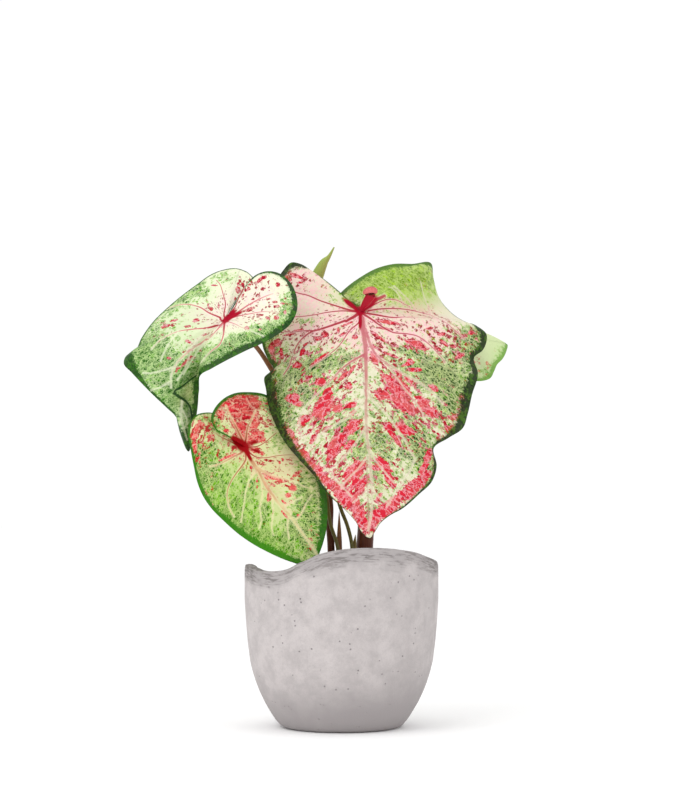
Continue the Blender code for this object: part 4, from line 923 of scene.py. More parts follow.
class Blade:
    """A leaf's blade as a fan of columns from its junction to its margin."""

    # How much farther off a layer of the blade may look and still be the one that a line is drawn on
    SAME_PLACE = 1.2
    # How many columns and rows a place can be from the nearest one, and when they run too close together
    FARTHEST_MOVE = 1.5
    FLATTEST = 1e-4
    # How far apart the samples on a drawn line, on a vein and on the border are
    DRAWN_STEP = 1.2
    VEIN_STEP = 0.25
    BORDER_STEP = 0.4
    # A vein's swelling at its start, and the half widths and redness of the veins on a hidden leaf
    SPREAD = 0.9
    RIB = (1.6, 0.5, 0.9, 0.1)
    RIB_ROWS = 6
    # The row from which the notch's sides are border, and how far a side vein leans for each step across
    NOTCH_ROW = 12
    LEAN = 0.6
    # Lengths that stand for a turn and for the other side of the midrib in the patterns
    TURN_REACH = 25
    OTHER_SIDE = 50
    # How far the margin, the junction (as a share of the way out) and a vein hold the swelling down, how
    # deep a vein's groove is for its width, and the half width whose rib stands out fully
    MARGIN_REACH = 4
    JUNCTION_REACH = 0.12
    VEIN_REACH = 3.5
    GROOVE = 0.12
    FULL_VEIN = 2.2
    # How high a rib can stand in shares of a full one, how much of it is left at the border, how wide it is
    # for its vein and at least, and how far from the border the blade gets its full thickness
    HIGHEST_RIB = 1.3
    BORDER_RIB = 0.3
    RIB_WIDTH = (0.8, 0.3)
    EDGE_REACH = 3
    # How red a place is that lies far from every island
    NO_ISLAND = -2.0

    def __init__(self, leaf):
        self.leaf = leaf
        self.columns, self.rows = leaf["grid"]
        self.junction = seen(*leaf["junction"])
        self.crown = unit(np.array(leaf["crown"], float))
        self.lay_surface()
        self.lay_veins()

    def lay_surface(self):
        knots = np.array([
            (*seen(across, up, back), swell, *(aside or (0, 0)))
            for across, up, back, swell, *aside in self.leaf["spokes"]
        ])
        along = along_line(knots[:, :3])
        slopes = np.gradient(knots, along, axis=0)
        places = np.linspace(0, along[-1], self.columns)
        k = np.clip(np.searchsorted(along, places, side="right") - 1, 0, len(along) - 2)
        gap = (along[k + 1] - along[k])[:, None]
        share = (places - along[k])[:, None] / gap
        edge = hermite(knots[k], knots[k + 1], gap * slopes[k], gap * slopes[k + 1], share)
        self.spoke = k + share[:, 0]
        margin = edge[:, None, :3]
        pull = edge[:, [4]] * (1.0, 0, 0) + edge[:, [5]] * (0, 0, 1.0)
        control = (self.junction + margin) / 2 + (edge[:, [3]] * self.crown + pull)[:, None]
        out = np.linspace(0, 1, self.rows)[:, None]
        self.surface = (1 - out) ** 2 * self.junction + 2 * out * (1 - out) * control + out**2 * margin
        self.out = np.broadcast_to(out[:, 0], self.surface.shape[:2])
        self.ahead = np.gradient(self.surface, axis=1)
        self.beside = np.gradient(self.surface, axis=0)
        normals = np.cross(self.ahead, self.beside)
        normals[:, 0] = self.crown
        self.normals = unit(normals)
        self.places = drawn(self.surface)

    def on_surface(self, place):
        """The point of the blade, on its nearest visible layer, that looks to be at a drawn place."""
        gaps = np.linalg.norm(self.places - place, axis=-1)
        near = gaps < gaps.min() + self.SAME_PLACE
        depth = np.where(near, self.surface[..., 1], np.inf) + gaps
        column, row = np.unravel_index(depth.argmin(), depth.shape)
        window = np.s_[max(0, column - 2):column + 3, max(1, row - 2):row + 3]
        best = np.unravel_index(gaps[window].argmin(), gaps[window].shape)
        column, row = window[0].start + best[0], window[1].start + best[1]
        point = self.surface[column, row]
        step_out, step_round = self.ahead[column, row], self.beside[column, row]
        steps = np.array((step_out[[0, 2]], step_round[[0, 2]])).T
        if abs(np.linalg.det(steps)) < self.FLATTEST:
            return point
        moves = np.linalg.solve(steps, place - self.places[column, row])
        moves = np.clip(moves, -self.FARTHEST_MOVE, self.FARTHEST_MOVE)
        return point + moves[0] * step_out + moves[1] * step_round

    def lay_veins(self):
        """Lines of (x, y, z, direction, half width, redness), closely sampled."""
        paths = []
        for form, *line in self.leaf["veins"]:
            places = even(through(line, steps_between=4), self.DRAWN_STEP)
            path = through([self.on_surface(place) for place in places], steps_between=2)
            paths.append((path, form))
        for spoke, reach in self.leaf.get("ribs", ()):
            column = int(abs(self.spoke - spoke).argmin())
            paths.append((self.surface[column, :int(reach * self.rows):self.RIB_ROWS], self.RIB))
        samples = []
        for path, (start, end, red, pale) in paths:
            path = even(path, self.VEIN_STEP)
            share = np.linspace(0, 1, len(path))[:, None]
            ahead = unit(np.gradient(path, axis=0))
            wide = (start + (end - start) * share) * (1 + self.SPREAD * (1 - share) ** 6)
            samples.append(np.hstack((path, ahead, wide, red + (pale - red) * share)))
        self.branches = Branches(samples)

    def lay_band(self):
        """The border as a line of (x, y, z, width of its dark band)."""
        spokes, widths = zip(*self.leaf["band"])
        lines = [np.hstack((self.surface[:, -1], np.interp(self.spoke, spokes, widths)[:, None]))]
        for column, width in ((0, widths[0]), (-1, widths[-1])):
            side = self.surface[column, self.NOTCH_ROW:]
            lines.append(np.hstack((side, np.full((len(side), 1), width))))
        rim, start, end = lines
        return Branches([even(line, self.BORDER_STEP) for line in (start, rim, end)])

    def measure(self):
        """What the finish reads at each point of the surface."""
        points = self.surface.reshape(-1, 3)
        places = self.places.reshape(-1, 2)
        rows, self.near = self.branches.nearest(points)
        self.wide = rows[:, 6]
        side = np.cross(rows[:, 3:6], points - rows[:, :3])
        facing = (side * self.normals.reshape(-1, 3)).sum(axis=1)
        border, self.rim = self.lay_band().nearest(points)
        islands = [1 - ellipse(places, *patch) for patch in self.leaf["patches"]]
        start = np.array(self.leaf["junction"][:2])
        ahead = unit(self.leaf["tip"] - start)
        along, across = (places - start) @ ahead, (places - start) @ (ahead[1], -ahead[0])
        reach = np.linalg.norm(points - self.junction, axis=1)
        angle = np.arctan2(across, along)
        lateral = (abs(across), along - self.LEAN * abs(across), self.OTHER_SIDE * np.sign(across))
        return {
            "vein_near": self.near, "vein_side": np.linalg.norm(side, axis=1) * np.sign(facing),
            "vein_wide": self.wide, "vein_red": rows[:, 7],
            "rim": self.rim, "border": self.rim / border[:, 3].clip(0.05),
            "patch": np.max([np.full(len(points), self.NO_ISLAND), *islands], axis=0),
            "lateral": np.stack(lateral, axis=1),
            "radial": np.stack((reach, angle * self.TURN_REACH, np.zeros(len(points))), axis=1),
            **{key: blob_cover(self.leaf.get(key, ()), places) for key in COVERS},
        }

    def build(self, name, sizes):
        """The closed sheet, swollen between its veins, with ribs below and a thin margin."""
        values = self.measure()
        thick, edge, quilt, rib = (value / MM for value in (sizes.thick, sizes.edge, sizes.quilt, sizes.rib))
        points, normals = self.surface.reshape(-1, 3), self.normals.reshape(-1, 3)
        free = 1 - near_one(self.rim, self.MARGIN_REACH)
        free = free * (1 - near_one(self.out.reshape(-1), self.JUNCTION_REACH))
        swell = quilt * free * (1 - near_one(self.near, self.VEIN_REACH))
        half = (edge + (thick - edge) * (1 - np.exp(-self.rim / self.EDGE_REACH))) / 2
        share, least = self.RIB_WIDTH
        ridge = near_one(self.near, share * self.wide + least)
        groove = self.GROOVE * self.wide * ridge * free
        raised = rib * (self.wide / self.FULL_VEIN).clip(0, self.HIGHEST_RIB) * ridge
        raised = raised * (self.BORDER_RIB + (1 - self.BORDER_RIB) * free)
        upper = points + (half + swell - groove)[:, None] * normals
        lower = points - (half - swell + raised)[:, None] * normals
        values = {key: np.concatenate((data, data)) for key, data in values.items()}
        values["bare"][len(points):] = 1.0
        return new_mesh(name, np.concatenate((upper, lower)), self.faces(), values)

    def faces(self):
        """The faces of both sides and of the border; every column starts at one shared point."""
        shift = self.columns * self.rows
        number = np.arange(shift).reshape(self.columns, self.rows)
        number[:, 0] = 0
        faces = []
        for grid, step in ((quads(number), 1), (quads(number) + shift, -1)):
            for part in (grid[:, 0, :3], grid[:, 1:].reshape(-1, 4)):
                faces += part[:, ::step].tolist()
        border = np.concatenate((number[0], number[1:, -1], number[-1, -2:0:-1]))
        ahead = np.roll(border, -1)
        return faces + np.stack((border, border + shift, ahead + shift, ahead), axis=-1).tolist()


def drop_loose(mesh):
    """Take out the points that no face uses."""
    shape = bmesh.new()
    shape.from_mesh(mesh)
    loose = [point for point in shape.verts if not point.link_faces]
    bmesh.ops.delete(shape, geom=loose, context="VERTS")
    shape.to_mesh(mesh)
    shape.free()


def rolled_sheet(name, leaf):
    """A thin sheet wound round its own line, tightening inwards."""
    along, around = leaf["grid"]
    knots = [[*seen(*place), radius] for place, radius in zip(leaf["line"], leaf["radii"])]
    curve = through(knots, steps_between=24)
    curve = resampled(curve, np.arange(len(curve)), np.linspace(0, len(curve) - 1, along + 1))
    line, radii = curve[:, :3], curve[:, 3]
    side = np.array((0.0, 1.0, 0))
    wound = np.linspace(0, 1, around + 1)
    turn = math.radians(leaf["first"]) + 2 * math.pi * leaf["turns"] * wound
    outer, inner = [], []
    for centre, direction, radius in zip(line, unit(np.gradient(line, axis=0)), radii):
        side = unit(side - side.dot(direction) * direction)
        spokes = np.cos(turn)[:, None] * side + np.sin(turn)[:, None] * np.cross(direction, side)
        reach = radius * (1 - (1 - leaf["closing"]) * wound)[:, None]
        outer.append(centre + reach * spokes)
        inner.append(centre + np.maximum(reach - leaf["thick"], INMOST * reach) * spokes)
    number = np.arange((along + 1) * (around + 1)).reshape(along + 1, around + 1)
    shift = number.size
    faces = quads(number).reshape(-1, 4)
    border = np.concatenate((number[0], number[1:, -1], number[-1, -2::-1], number[-2:0:-1, 0]))
    onward = np.roll(border, -1)
    rim = np.stack((onward, border, border + shift, onward + shift), axis=-1)
    faces = np.concatenate((faces, faces[:, ::-1] + shift, rim)).tolist()
    return new_mesh(name, np.vstack(outer + inner), faces, {"wound": np.tile(wound, 2 * (along + 1))})


def planted(place):
    """The start of a line that stands upright in its hole below a place at the rim."""
    across, back, up = seen(*place)
    heights = (SOIL_TOP - HOLE_DEPTH, SOIL_TOP + STRAIGHT_UP, up)
    return [np.array((across, back, height)) for height in heights]


def stalk_line(stalk):
    """A stalk's line and its radius at each point, as in the packed model, but with more points."""
    line = planted(stalk["line"][0]) + [seen(*place) for place in stalk["line"][1:]]
    thick, thin = stalk["radii"]
    end = seen(*stalk["end"])
    line.append(end + stalk["short"] * unit(line[-1] - end))
    line = even(through(line, steps_between=8), STALK_STEP)
    along = along_line(line)
    radii = thick + (thin - thick) * (along / along[-1]) ** stalk["thinning"]
    return line, radii * np.interp(along[-1] - along, *STALK_END)


def sheath_line(sheath):
    line = through(planted(sheath["foot"]) + [seen(*sheath["tip"])], steps_between=8)
    line = even(line, SHEATH_STEP)
    start, end = seen(*sheath["foot"])[2], line[-1, 2]
    share = ((line[:, 2] - start) / (end - start)).clip(0, 1)
    return line, sheath["radius"] * (1 - (1 - SHEATH_POINT) * share**1.6)


def geometry_tree(name, kinds):
    """A tree that makes a geometry from one, from values of these kinds and from a material."""
    inputs = {"Geometry": "Geometry", **kinds, "Material": "Material"}
    return new_tree("GeometryNodeTree", name, inputs, {"Geometry": "Geometry"})


def finish_tree(make, geometry, material, end):
    """End a tree: smooth, real geometry with its material."""
    smooth = make.get("GeometryNodeSetShadeSmooth", {"Geometry": geometry})
    real = make.get("GeometryNodeRealizeInstances", {"Geometry": smooth})
    make.link(make.get("GeometryNodeSetMaterial", {"Geometry": real, "Material": material}), end[0])
    return make.tree


def run_tree(tree, mesh, values):
    """The plain mesh that the tree makes from a starting mesh, with these values of its inputs."""
    start = new_object(f"{mesh.name}_maker", mesh)
    modifier = start.modifiers.new(tree.name, "NODES")
    modifier.node_group = tree
    keys = {item.name: item.identifier for item in tree.interface.items_tree if item.in_out == "INPUT"}
    for key, value in values.items():
        modifier[keys[key]] = value
    shape = start.evaluated_get(bpy.context.evaluated_depsgraph_get())
    made = bpy.data.meshes.new_from_object(shape)
    start.modifiers.clear()
    bpy.data.objects.remove(start, do_unlink=True)
    return made


def moved(make, geometry, lift):
    """The geometry, lifted this far off its own surface."""
    shift = make.stretched(make.get("GeometryNodeInputNormal"), lift)
    return make.get("GeometryNodeSetPosition", {"Geometry": geometry, "Offset": shift})


def stalk_tree():
    """A round stem along a line: its radius is the line's own, with soft ridges along it."""
    make, start, end = geometry_tree("Stem", {"Sides": "Int", "Ridge": "Float"})
    curve = make.get("GeometryNodeMeshToCurve", {"Mesh": start["Geometry"]})
    thick = make.get("GeometryNodeInputNamedAttribute", {"Name": "thick"}, data_type="FLOAT")
    ring = make.get("GeometryNodeCurvePrimitiveCircle", {"Resolution": start["Sides"], "Radius": 1.0})
    stem = make.get(
        "GeometryNodeCurveToMesh", {"Curve": curve, "Profile Curve": ring, "Scale": thick, "Fill Caps": True},
    )
    drawn_out = make.vector("MULTIPLY", make.get("GeometryNodeInputPosition"), (1 / MM, 1 / MM, 0.12 / MM))
    wander = make.minus(make.noise(drawn_out, 0.9, 1.0), 0.5)
    bent = moved(make, stem, make.times(wander, start["Ridge"]))
    return finish_tree(make, bent, start["Material"], end)


def pot_radius(height):
    return float(graph(POT_SIDE, height))


def pot_section():
    """The wall's section, from the middle of the base out, up, over the rim and down inside."""
    top, foot = POT_SIDE[-1][1], POT_SIDE[0][1]
    side = [(0, 0), (BASE_MIDDLE, 0)] + [(foot + out, up) for out, up in FOOT_ROUND]
    side += [(pot_radius(height), height) for height in OUTER_HEIGHTS]
    side += [(top, height) for height in STRAIGHT_HEIGHTS]
    side += [(top - inwards, RIM_LEVEL - down) for inwards, down in RIM_ROUND]
    side += [(top - POT_WALL, height) for height in STRAIGHT_INSIDE]
    side += [(pot_radius(height) - POT_WALL, height) for height in INNER_HEIGHTS]
    corner = pot_radius(POT_FLOOR) - POT_WALL - INNER_CORNER
    side += [(radius, POT_FLOOR) for radius in (corner, BASE_MIDDLE, 0)]
    return np.array([(radius, 0, height) for radius, height in side], float)


def rim_heights(make, around):
    """The rim's height above its level, by the share of a whole turn, in metres."""
    inner = [(place, level) for place, level in RIM if -180 < place < 180]
    first, last = RIM[0], RIM[-1]
    seam = last[1] + (first[1] - last[1]) * (180 - last[0]) / (360 + first[0] - last[0])
    curve = make.node("ShaderNodeFloatCurve", {"Value": around})
    points = curve.mapping.curves[0].points
    spots = [
        ((place + 180) / 360, (level - RIM_LOW) / (RIM_HIGH - RIM_LOW))
        for place, level in [(-180, seam), *inner, (180, seam)]
    ]
    points[0].location, points[-1].location = spots[0], spots[-1]
    for spot in spots[1:-1]:
        points.new(*spot)
    curve.mapping.update()
    return make.scaled(curve.outputs[0], (RIM_HIGH - RIM_LOW) * MM, (RIM_LOW - RIM_LEVEL) * MM)


def pot_tree():
    """A section turned round the upright axis, with a rim that rises and falls, and a cast surface."""
    inputs = {"Round": "Int", "Along": "Int", "Wave": "Float", "Grain": "Float"}
    make, start, end = geometry_tree("Cast shell", inputs)
    maths, times, minus, scaled = make.maths, make.times, make.minus, make.scaled
    curve = make.get("GeometryNodeMeshToCurve", {"Mesh": start["Geometry"]})
    sheet = make.node("GeometryNodeMeshGrid", {"Vertices X": start["Round"], "Vertices Y": start["Along"]})
    around, up, _ = make.parts(sheet.outputs["UV Map"])
    section = make.node("GeometryNodeSampleCurve", {"Curves": curve, "Factor": up}, mode="FACTOR")
    radius, _, height = make.parts(section.outputs["Position"])
    stored = {"drop": scaled(height, -1 / MM, RIM_LEVEL), "turn": scaled(around, 360.0, -180.0)}

    # The rim's drawn line and a ripple, which the wall follows more and more on its way up
    level = rim_heights(make, around)
    turn = times(around, 2 * math.pi)
    outward = make.joined(x=times(maths("SINE", turn), -1.0), y=maths("COSINE", turn))
    ripple = minus(make.noise(make.stretched(outward, 3.0), 2.2, 3.0), 0.5)
    level = scaled(ripple, start["Wave"], level)
    share = make.rise(height, POT_SIDE[-1][0] * MM, STRAIGHT_HEIGHTS[-1] * MM)
    height = scaled(level, share, height)
    lifted = make.vector("ADD", make.stretched(outward, radius), make.joined(z=height))
    kept = sheet.outputs[0]
    for key, value in stored.items():
        inputs = {"Geometry": kept, "Name": key, "Value": value}
        kept = make.get("GeometryNodeStoreNamedAttribute", inputs, domain="CORNER")
    turned = make.get("GeometryNodeSetPosition", {"Geometry": kept, "Position": lifted})
    whole = make.get("GeometryNodeMergeByDistance", {"Geometry": turned, "Distance": POT_WELD * MM})

    # The cast surface, uneven everywhere but under the foot
    spot = make.stretched(make.get("GeometryNodeInputPosition"), 1 / MM)
    uneven = minus(make.noise(spot, 0.11, 4.0, 0.6), 0.5)
    raised = make.rise(make.parts(spot)[2], 0.0, 3.0)
    cast = moved(make, whole, times(times(uneven, start["Grain"]), raised))
    return finish_tree(make, cast, start["Material"], end)


def soil_mesh():
    """The soil as a closed, mounded plug on rings that get closer together towards the top."""
    inset = POT_WALL + SOIL_GAP
    shoulder = SOIL_TOP - SOIL_MOUND
    low, edge = POT_FLOOR + SOIL_FOOT_GAP, POT_SIDE[-1][1] - inset
    side = [(pot_radius(POT_FLOOR) - POT_WALL - SOIL_CORNER, low)]
    side += [(pot_radius(height) - inset, height) for height in SOIL_HEIGHTS]
    side += [(edge, shoulder - 1)]
    rings = np.linspace(edge, 0, SOIL_RINGS)[:-1]
    side += [(radius, shoulder + SOIL_MOUND * (1 - (radius / SOIL_REACH) ** 2)) for radius in rings]
    turns = 2 * math.pi * np.arange(SOIL_ROUND) / SOIL_ROUND
    points = [(r * math.sin(t), -r * math.cos(t), h) for r, h in side for t in turns]
    points += [(0, 0, low), (0, 0, SOIL_TOP)]
    number = np.arange(len(side) * SOIL_ROUND).reshape(len(side), SOIL_ROUND)
    number = np.hstack((number, number[:, :1]))
    faces = quads(number).reshape(-1, 4).tolist()
    bottom, top = len(points) - 2, len(points) - 1
    lowest, highest = number[0].tolist(), number[-1].tolist()
    for k in range(SOIL_ROUND):
        faces += [(bottom, lowest[k + 1], lowest[k]), (top, highest[k], highest[k + 1])]
    return new_mesh("soil_plug", points, faces)


def random_sizes(make, low, high, seed):
    inputs = {"Min": low, "Max": high, "Seed": seed}
    return make.get("FunctionNodeRandomValue", inputs, data_type="FLOAT_VECTOR")


def soil_tree():
    """Rough soil with crumbs and short fibres scattered on its top."""
    make, start, end = geometry_tree("Crumbled soil", {"Crumbs": "Int", "Crumb size": "Float", "Seed": "Int"})
    maths, times, minus = make.maths, make.times, make.minus
    place = make.get("GeometryNodeInputPosition")
    spot = make.stretched(place, 1 / MM)
    top = make.rise(make.parts(spot)[2], SOIL_TOP - SOIL_MOUND - 0.8, SOIL_TOP - SOIL_MOUND + 0.6)
    rough = minus(make.noise(spot, 0.35, 5.0, 0.7), 0.55)
    rise = make.joined(z=times(times(rough, SOIL_ROUGH * MM), top))
    ground = make.get("GeometryNodeSetPosition", {"Geometry": start["Geometry"], "Offset": rise})
    upward = make.parts(make.get("GeometryNodeInputNormal"))[2]
    flat = times(top, maths("GREATER_THAN", upward, 0.3))
    inputs = {
        "Mesh": ground, "Selection": maths("GREATER_THAN", flat, 0.5),
        "Density": maths("DIVIDE", start["Crumbs"], math.pi * (SOIL_REACH * MM) ** 2), "Seed": start["Seed"],
    }
    scatter = make.get("GeometryNodeDistributePointsOnFaces", inputs)
    ball = make.get("GeometryNodeMeshIcoSphere", {"Radius": 0.5, "Subdivisions": 2})
    crumb = moved(make, ball, minus(make.noise(place, 1.7, 2.0), 0.5))
    sizes = random_sizes(make, (0.25, 0.2, 0.15), (1.0, 0.7, 0.6), start["Seed"])
    inputs = {
        "Points": scatter, "Instance": crumb, "Scale": make.stretched(sizes, start["Crumb size"]),
        "Rotation": random_sizes(make, (0, 0, 0), (0.6, 0.6, 6.28), start["Seed"]),
    }
    both = make.node("GeometryNodeJoinGeometry")
    make.link(make.get("GeometryNodeInstanceOnPoints", inputs), both.inputs[0])
    make.link(ground, both.inputs[0])
    return finish_tree(make, both.outputs[0], start["Material"], end)


def new_material(name, roughness, **values):
    """A Principled BSDF material, with its maker and its shader node."""
    material = bpy.data.materials.new(name)
    material.use_nodes = True
    shader = material.node_tree.nodes["Principled BSDF"]
    shader.inputs["Roughness"].default_value = roughness
    for key, value in values.items():
        shader.inputs[key.replace("_", " ")].default_value = value
    return material, Maker(material.node_tree), shader


def rgba(setting):
    return (*setting, 1.0)


def markings_group():
    """A variegated blade's colour, roughness and height, from its attributes and its colours."""
    inputs = {label: "Color" for _, label, *_ in BLADE_COLOURS}
    make, start, out = new_tree("ShaderNodeTree", "Leaf markings", inputs, SKIN)
    colours = {key: start[label] for key, label, *_ in BLADE_COLOURS}
    maths, rise, blend, of = make.maths, make.rise, make.blend, make.attribute
    plus, minus, times, scaled, larger = make.plus, make.minus, make.times, make.scaled, make.larger
    spot = make.in_millimetres()
    fine = rise(make.noise(spot, 1.1, 2.0, 0.6), 0.32, 0.68)
    broad = rise(make.noise(spot, 0.27, 3.0, 0.6), 0.4, 0.6)
    wander = make.noise(spot, 0.12, 2.0)

    # Two sizes of cell between the finest veins, drawn out along the side veins, with ragged edges
    ragged = make.node("ShaderNodeTexNoise", {"Vector": spot, "Scale": 0.6, "Detail": 2.0}).outputs["Color"]
    ragged = make.stretched(make.vector("SUBTRACT", ragged, (0.5, 0.5, 0.5)), RAGGED)
    lateral = make.vector("ADD", of("lateral", "Vector"), ragged)
    small, large = (make.vector("MULTIPLY", lateral, cell) for cell in (SMALL_CELL, LARGE_CELL))
    chance, other, third = make.chances(small)
    broad_chance = make.chances(large)[0]
    thread = rise(make.cells(small, "DISTANCE_TO_EDGE")["Distance"], 0.18, 0.05)
    cord = rise(make.cells(large, "DISTANCE_TO_EDGE")["Distance"], 0.1, 0.03)
    net = larger(times(thread, 0.55), times(cord, 0.9))

    # The ground, the blush and three depths of green, cell by cell
    blush = rise(plus(of("blush"), times(wander, 0.3)), 0.25, 0.85)
    bleached = blend(blush, colours["ground"], colours["blush"])
    fresh = times(of("fresh"), 0.9)
    base = blend(times(fresh, 0.85), bleached, colours["fresh"])
    hide = scaled(chance, 0.32, scaled(broad, 0.5, times(fine, 0.18)))
    level = scaled(of("green"), 1.2, times(hide, -1.0))
    light = blend(fresh, colours["light"], blend(0.85, colours["ground"], colours["fresh"]))
    base = blend(rise(level, -0.08, 0.0), base, light)
    base = blend(rise(level, 0.05, 0.12), base, blend(fresh, colours["mid"], colours["fresh"]))
    dim = times(rise(level, 0.3, 0.4), scaled(fresh, -0.5, 1.0))
    base = blend(dim, base, colours["deep"])
    thin = blend(larger(times(of("green"), 0.7), fresh), colours["ground"], light)
    base = blend(net, base, thin)

    # Red cells, thick on the islands and thinner round them
    island = plus(plus(of("patch"), 0.12), scaled(other, 1.1, scaled(fine, 0.4, -0.5)))
    chances = scaled(of("rosy"), 0.6, scaled(fine, 0.16, -0.12))
    red = larger(rise(island, -0.05, 0.05), rise(minus(chances, third), -0.02, 0.03))
    tone = blend(times(rise(broad_chance, 0.3, 0.9), 0.12), colours["patch"], colours["ground"])
    tone = blend(times(rise(third, 0.35, 0.0), 0.6), tone, colours["fleck"])
    dusky = times(rise(of("patch"), 0.4, 0.0), rise(of("fleck"), 0.2, 0.7, 0.8))
    tone = blend(dusky, tone, colours["fleck"])
    tone = blend(rise(island, 0.3, 0.05, 0.45), tone, colours["fleck"])
    tone = blend(times(cord, 0.65), tone, blend(0.2, colours["blush"], colours["patch"]))
    base = blend(red, base, tone)

    # Crimson flecks that run outwards from the stalk
    streaks = make.vector("MULTIPLY", make.vector("ADD", of("radial", "Vector"), ragged), STREAK)
    kept = rise(minus(times(of("fleck"), 0.5), make.chances(streaks)[0]), 0.0, 0.05)
    fleck = times(kept, rise(make.cells(streaks, "F1")["Distance"], 0.52, 0.36))
    base = blend(times(fleck, 0.9), base, colours["fleck"])

    # The dull underside, and the dark border with a ragged inner edge; the border's dark colour also paints
    # the shade spots, which are painted shade beside a fold
    base = blend(times(of("bare"), 0.7), base, colours["under"])
    edge = plus(of("border"), scaled(chance, 0.45, scaled(fine, 0.4, -0.7)))
    fringe = blend(0.4, colours["mid"], colours["deep"])
    base = blend(times(rise(edge, 2.4, 1.0, 0.6), minus(1.0, net)), base, fringe)
    # The shade spots take the border's dark colour: painted shade
    band = larger(rise(edge, 1.2, 0.8), times(of("shade"), scaled(net, -0.5, 1.0)))
    dark = blend(times(rise(hide, 0.45, 0.2), 0.4), colours["margin"], colours["mid"])
    dark = blend(times(of("fresh"), 0.6), dark, colours["mid"])
    base = blend(times(band, 0.95), base, dark)

    # The veins, pale or red, in a bleached halo, and dark lines below a redness of 0: painted shade along a
    # fold, in the margin's colour
    away = larger(maths("ABSOLUTE", of("vein_side")), minus(of("vein_near"), 0.7))
    wide = of("vein_wide")
    share = maths("DIVIDE", plus(away, times(fine, 0.5)), scaled(wide, 1.6, 0.7))
    redness = plus(of("vein_red"), scaled(wander, 0.3, -0.15))
    base = blend(times(rise(share, 1.2, 0.5, 0.5), rise(redness, -0.5, -0.1)), base, bleached)
    # A line whose redness is below 0 takes the margin's colour: painted shade along a fold
    line = blend(rise(redness, -0.8, -0.4), colours["margin"], colours["vein_pale"])
    line = blend(rise(redness, 0.1, 0.5), line, colours["vein_pink"])
    line = blend(rise(redness, 0.5, 0.9), line, colours["vein_red"])
    core = rise(maths("DIVIDE", away, wide), 1.3, 0.6)
    shown = scaled(rise(maths("ABSOLUTE", redness), 0.0, 0.6), 0.62, 0.32)
    base = blend(times(core, shown), base, line)
    base = blend(rise(of("heart"), 0.35, 0.75), base, colours["vein_red"])
    make.link(base, out["Color"])
    make.link(scaled(fine, 0.14, scaled(of("bare"), 0.15, 0.4)), out["Roughness"])
    pucker = times(minus(1.0, net), minus(1.0, core))
    make.link(plus(times(pucker, 0.7), times(fine, 0.3)), out["Height"])
    return make.tree


def grain_group():
    """A rough surface of two tones: soft clouds, fine grain and dark pits."""
    inputs = {
        "Pale": "Color", "Dark": "Color", "Cloud size": "Float", "Cloud depth": "Float", "Pit size": "Float",
        "Pits": "Float",
    }
    make, start, out = new_tree("ShaderNodeTree", "Mineral grain", inputs, SKIN)
    maths, rise, blend, times, scaled = make.maths, make.rise, make.blend, make.times, make.scaled
    spot = make.in_millimetres()
    clouds = make.noise(spot, maths("DIVIDE", 1.0, start["Cloud size"]), 6.0, 0.72)
    fine = make.noise(spot, 1.1, 3.0, 0.7)
    pits_apart = maths("DIVIDE", 1.0, start["Pit size"])
    hole = rise(make.cells(spot, "F1", pits_apart)["Distance"], 0.26, 0.12)
    pit = times(hole, maths("LESS_THAN", make.chances(spot, pits_apart)[1], start["Pits"]))
    base = blend(rise(clouds, 0.36, 0.68, start["Cloud depth"]), start["Pale"], start["Dark"])
    base = blend(rise(fine, 0.45, 0.8, 0.35), base, start["Dark"])
    # Painted shade: each pit is coloured near black as if shaded inside
    base = blend(times(pit, 0.75), base, blend(0.6, start["Dark"], rgba((0.02, 0.02, 0.02))))
    make.link(base, out["Color"])
    make.link(scaled(fine, 0.2, 0.72), out["Roughness"])
    make.link(make.minus(scaled(fine, 0.5, times(clouds, 0.5)), pit), out["Height"])
    return make.tree


def fibres_group():
    """A stalk's skin: two tones along its length, and darker specks and streaks."""
    inputs = {"Foot": "Color", "Head": "Color", "Share": "Float"}
    make, start, out = new_tree("ShaderNodeTree", "Stalk skin", inputs, {"Color": "Color", "Height": "Float"})
    rise, blend, times, scaled = make.rise, make.blend, make.times, make.scaled
    spot = make.in_millimetres()
    streaks = make.noise(make.vector("MULTIPLY", spot, (1.0, 1.0, 0.1)), 1.4, 3.0, 0.6)
    specks = make.noise(spot, 1.8, 2.0, 0.6)
    share = make.plus(start["Share"], scaled(streaks, 0.5, -0.25))
    base = blend(rise(share, 0.1, 0.9), start["Foot"], start["Head"])
    make.link(blend(rise(specks, 0.5, 0.75, 0.5), base, start["Foot"]), out["Color"])
    make.link(scaled(streaks, 0.7, times(specks, 0.3)), out["Height"])
    return make.tree


def dressed(name, group, build, values, roughness, depth, share=None, **settings):
    """A material with a node group's skin, whose height runs from 0 to 1 over this many millimetres.

    The share between the skin's two tones is the attribute of that name.
    """
    material, make, shader = new_material(name, roughness, **settings)
    if share:
        values = {**values, "Share": make.attribute(share)}
    tree = bpy.data.node_groups.get(group) or build()
    skin = make.node("ShaderNodeGroup", values, node_tree=tree).outputs
    bump = {"Height": skin["Height"], "Strength": 1.0, "Distance": depth * MM}
    make.link(make.get("ShaderNodeBump", bump), shader.inputs["Normal"])
    make.link(skin["Color"], shader.inputs["Base Color"])
    if "Roughness" in skin:
        make.link(skin["Roughness"], shader.inputs["Roughness"])
    return material, make, shader, skin


def blade_material(name, colours):
    values = {label: rgba(getattr(colours, key)) for key, label, *_ in BLADE_COLOURS}
    return dressed(
        f"{name}_skin", "Leaf markings", markings_group, values, roughness=0.42, depth=0.12,
        Specular_IOR_Level=0.08,
    )[0]


def skin_material(name, foot, head, share="along", roughness=0.38):
    values = {"Foot": rgba(foot), "Head": rgba(head)}
    return dressed(
        f"{name}_skin", "Stalk skin", fibres_group, values, roughness, depth=0.1, share=share,
        Specular_IOR_Level=0.2,
    )[0]


def mineral_material(name, pale, dark, grain, depth):
    values = {"Pale": rgba(pale), "Dark": rgba(dark), **grain}
    return dressed(name, "Mineral grain", grain_group, values, roughness=0.85, depth=depth)


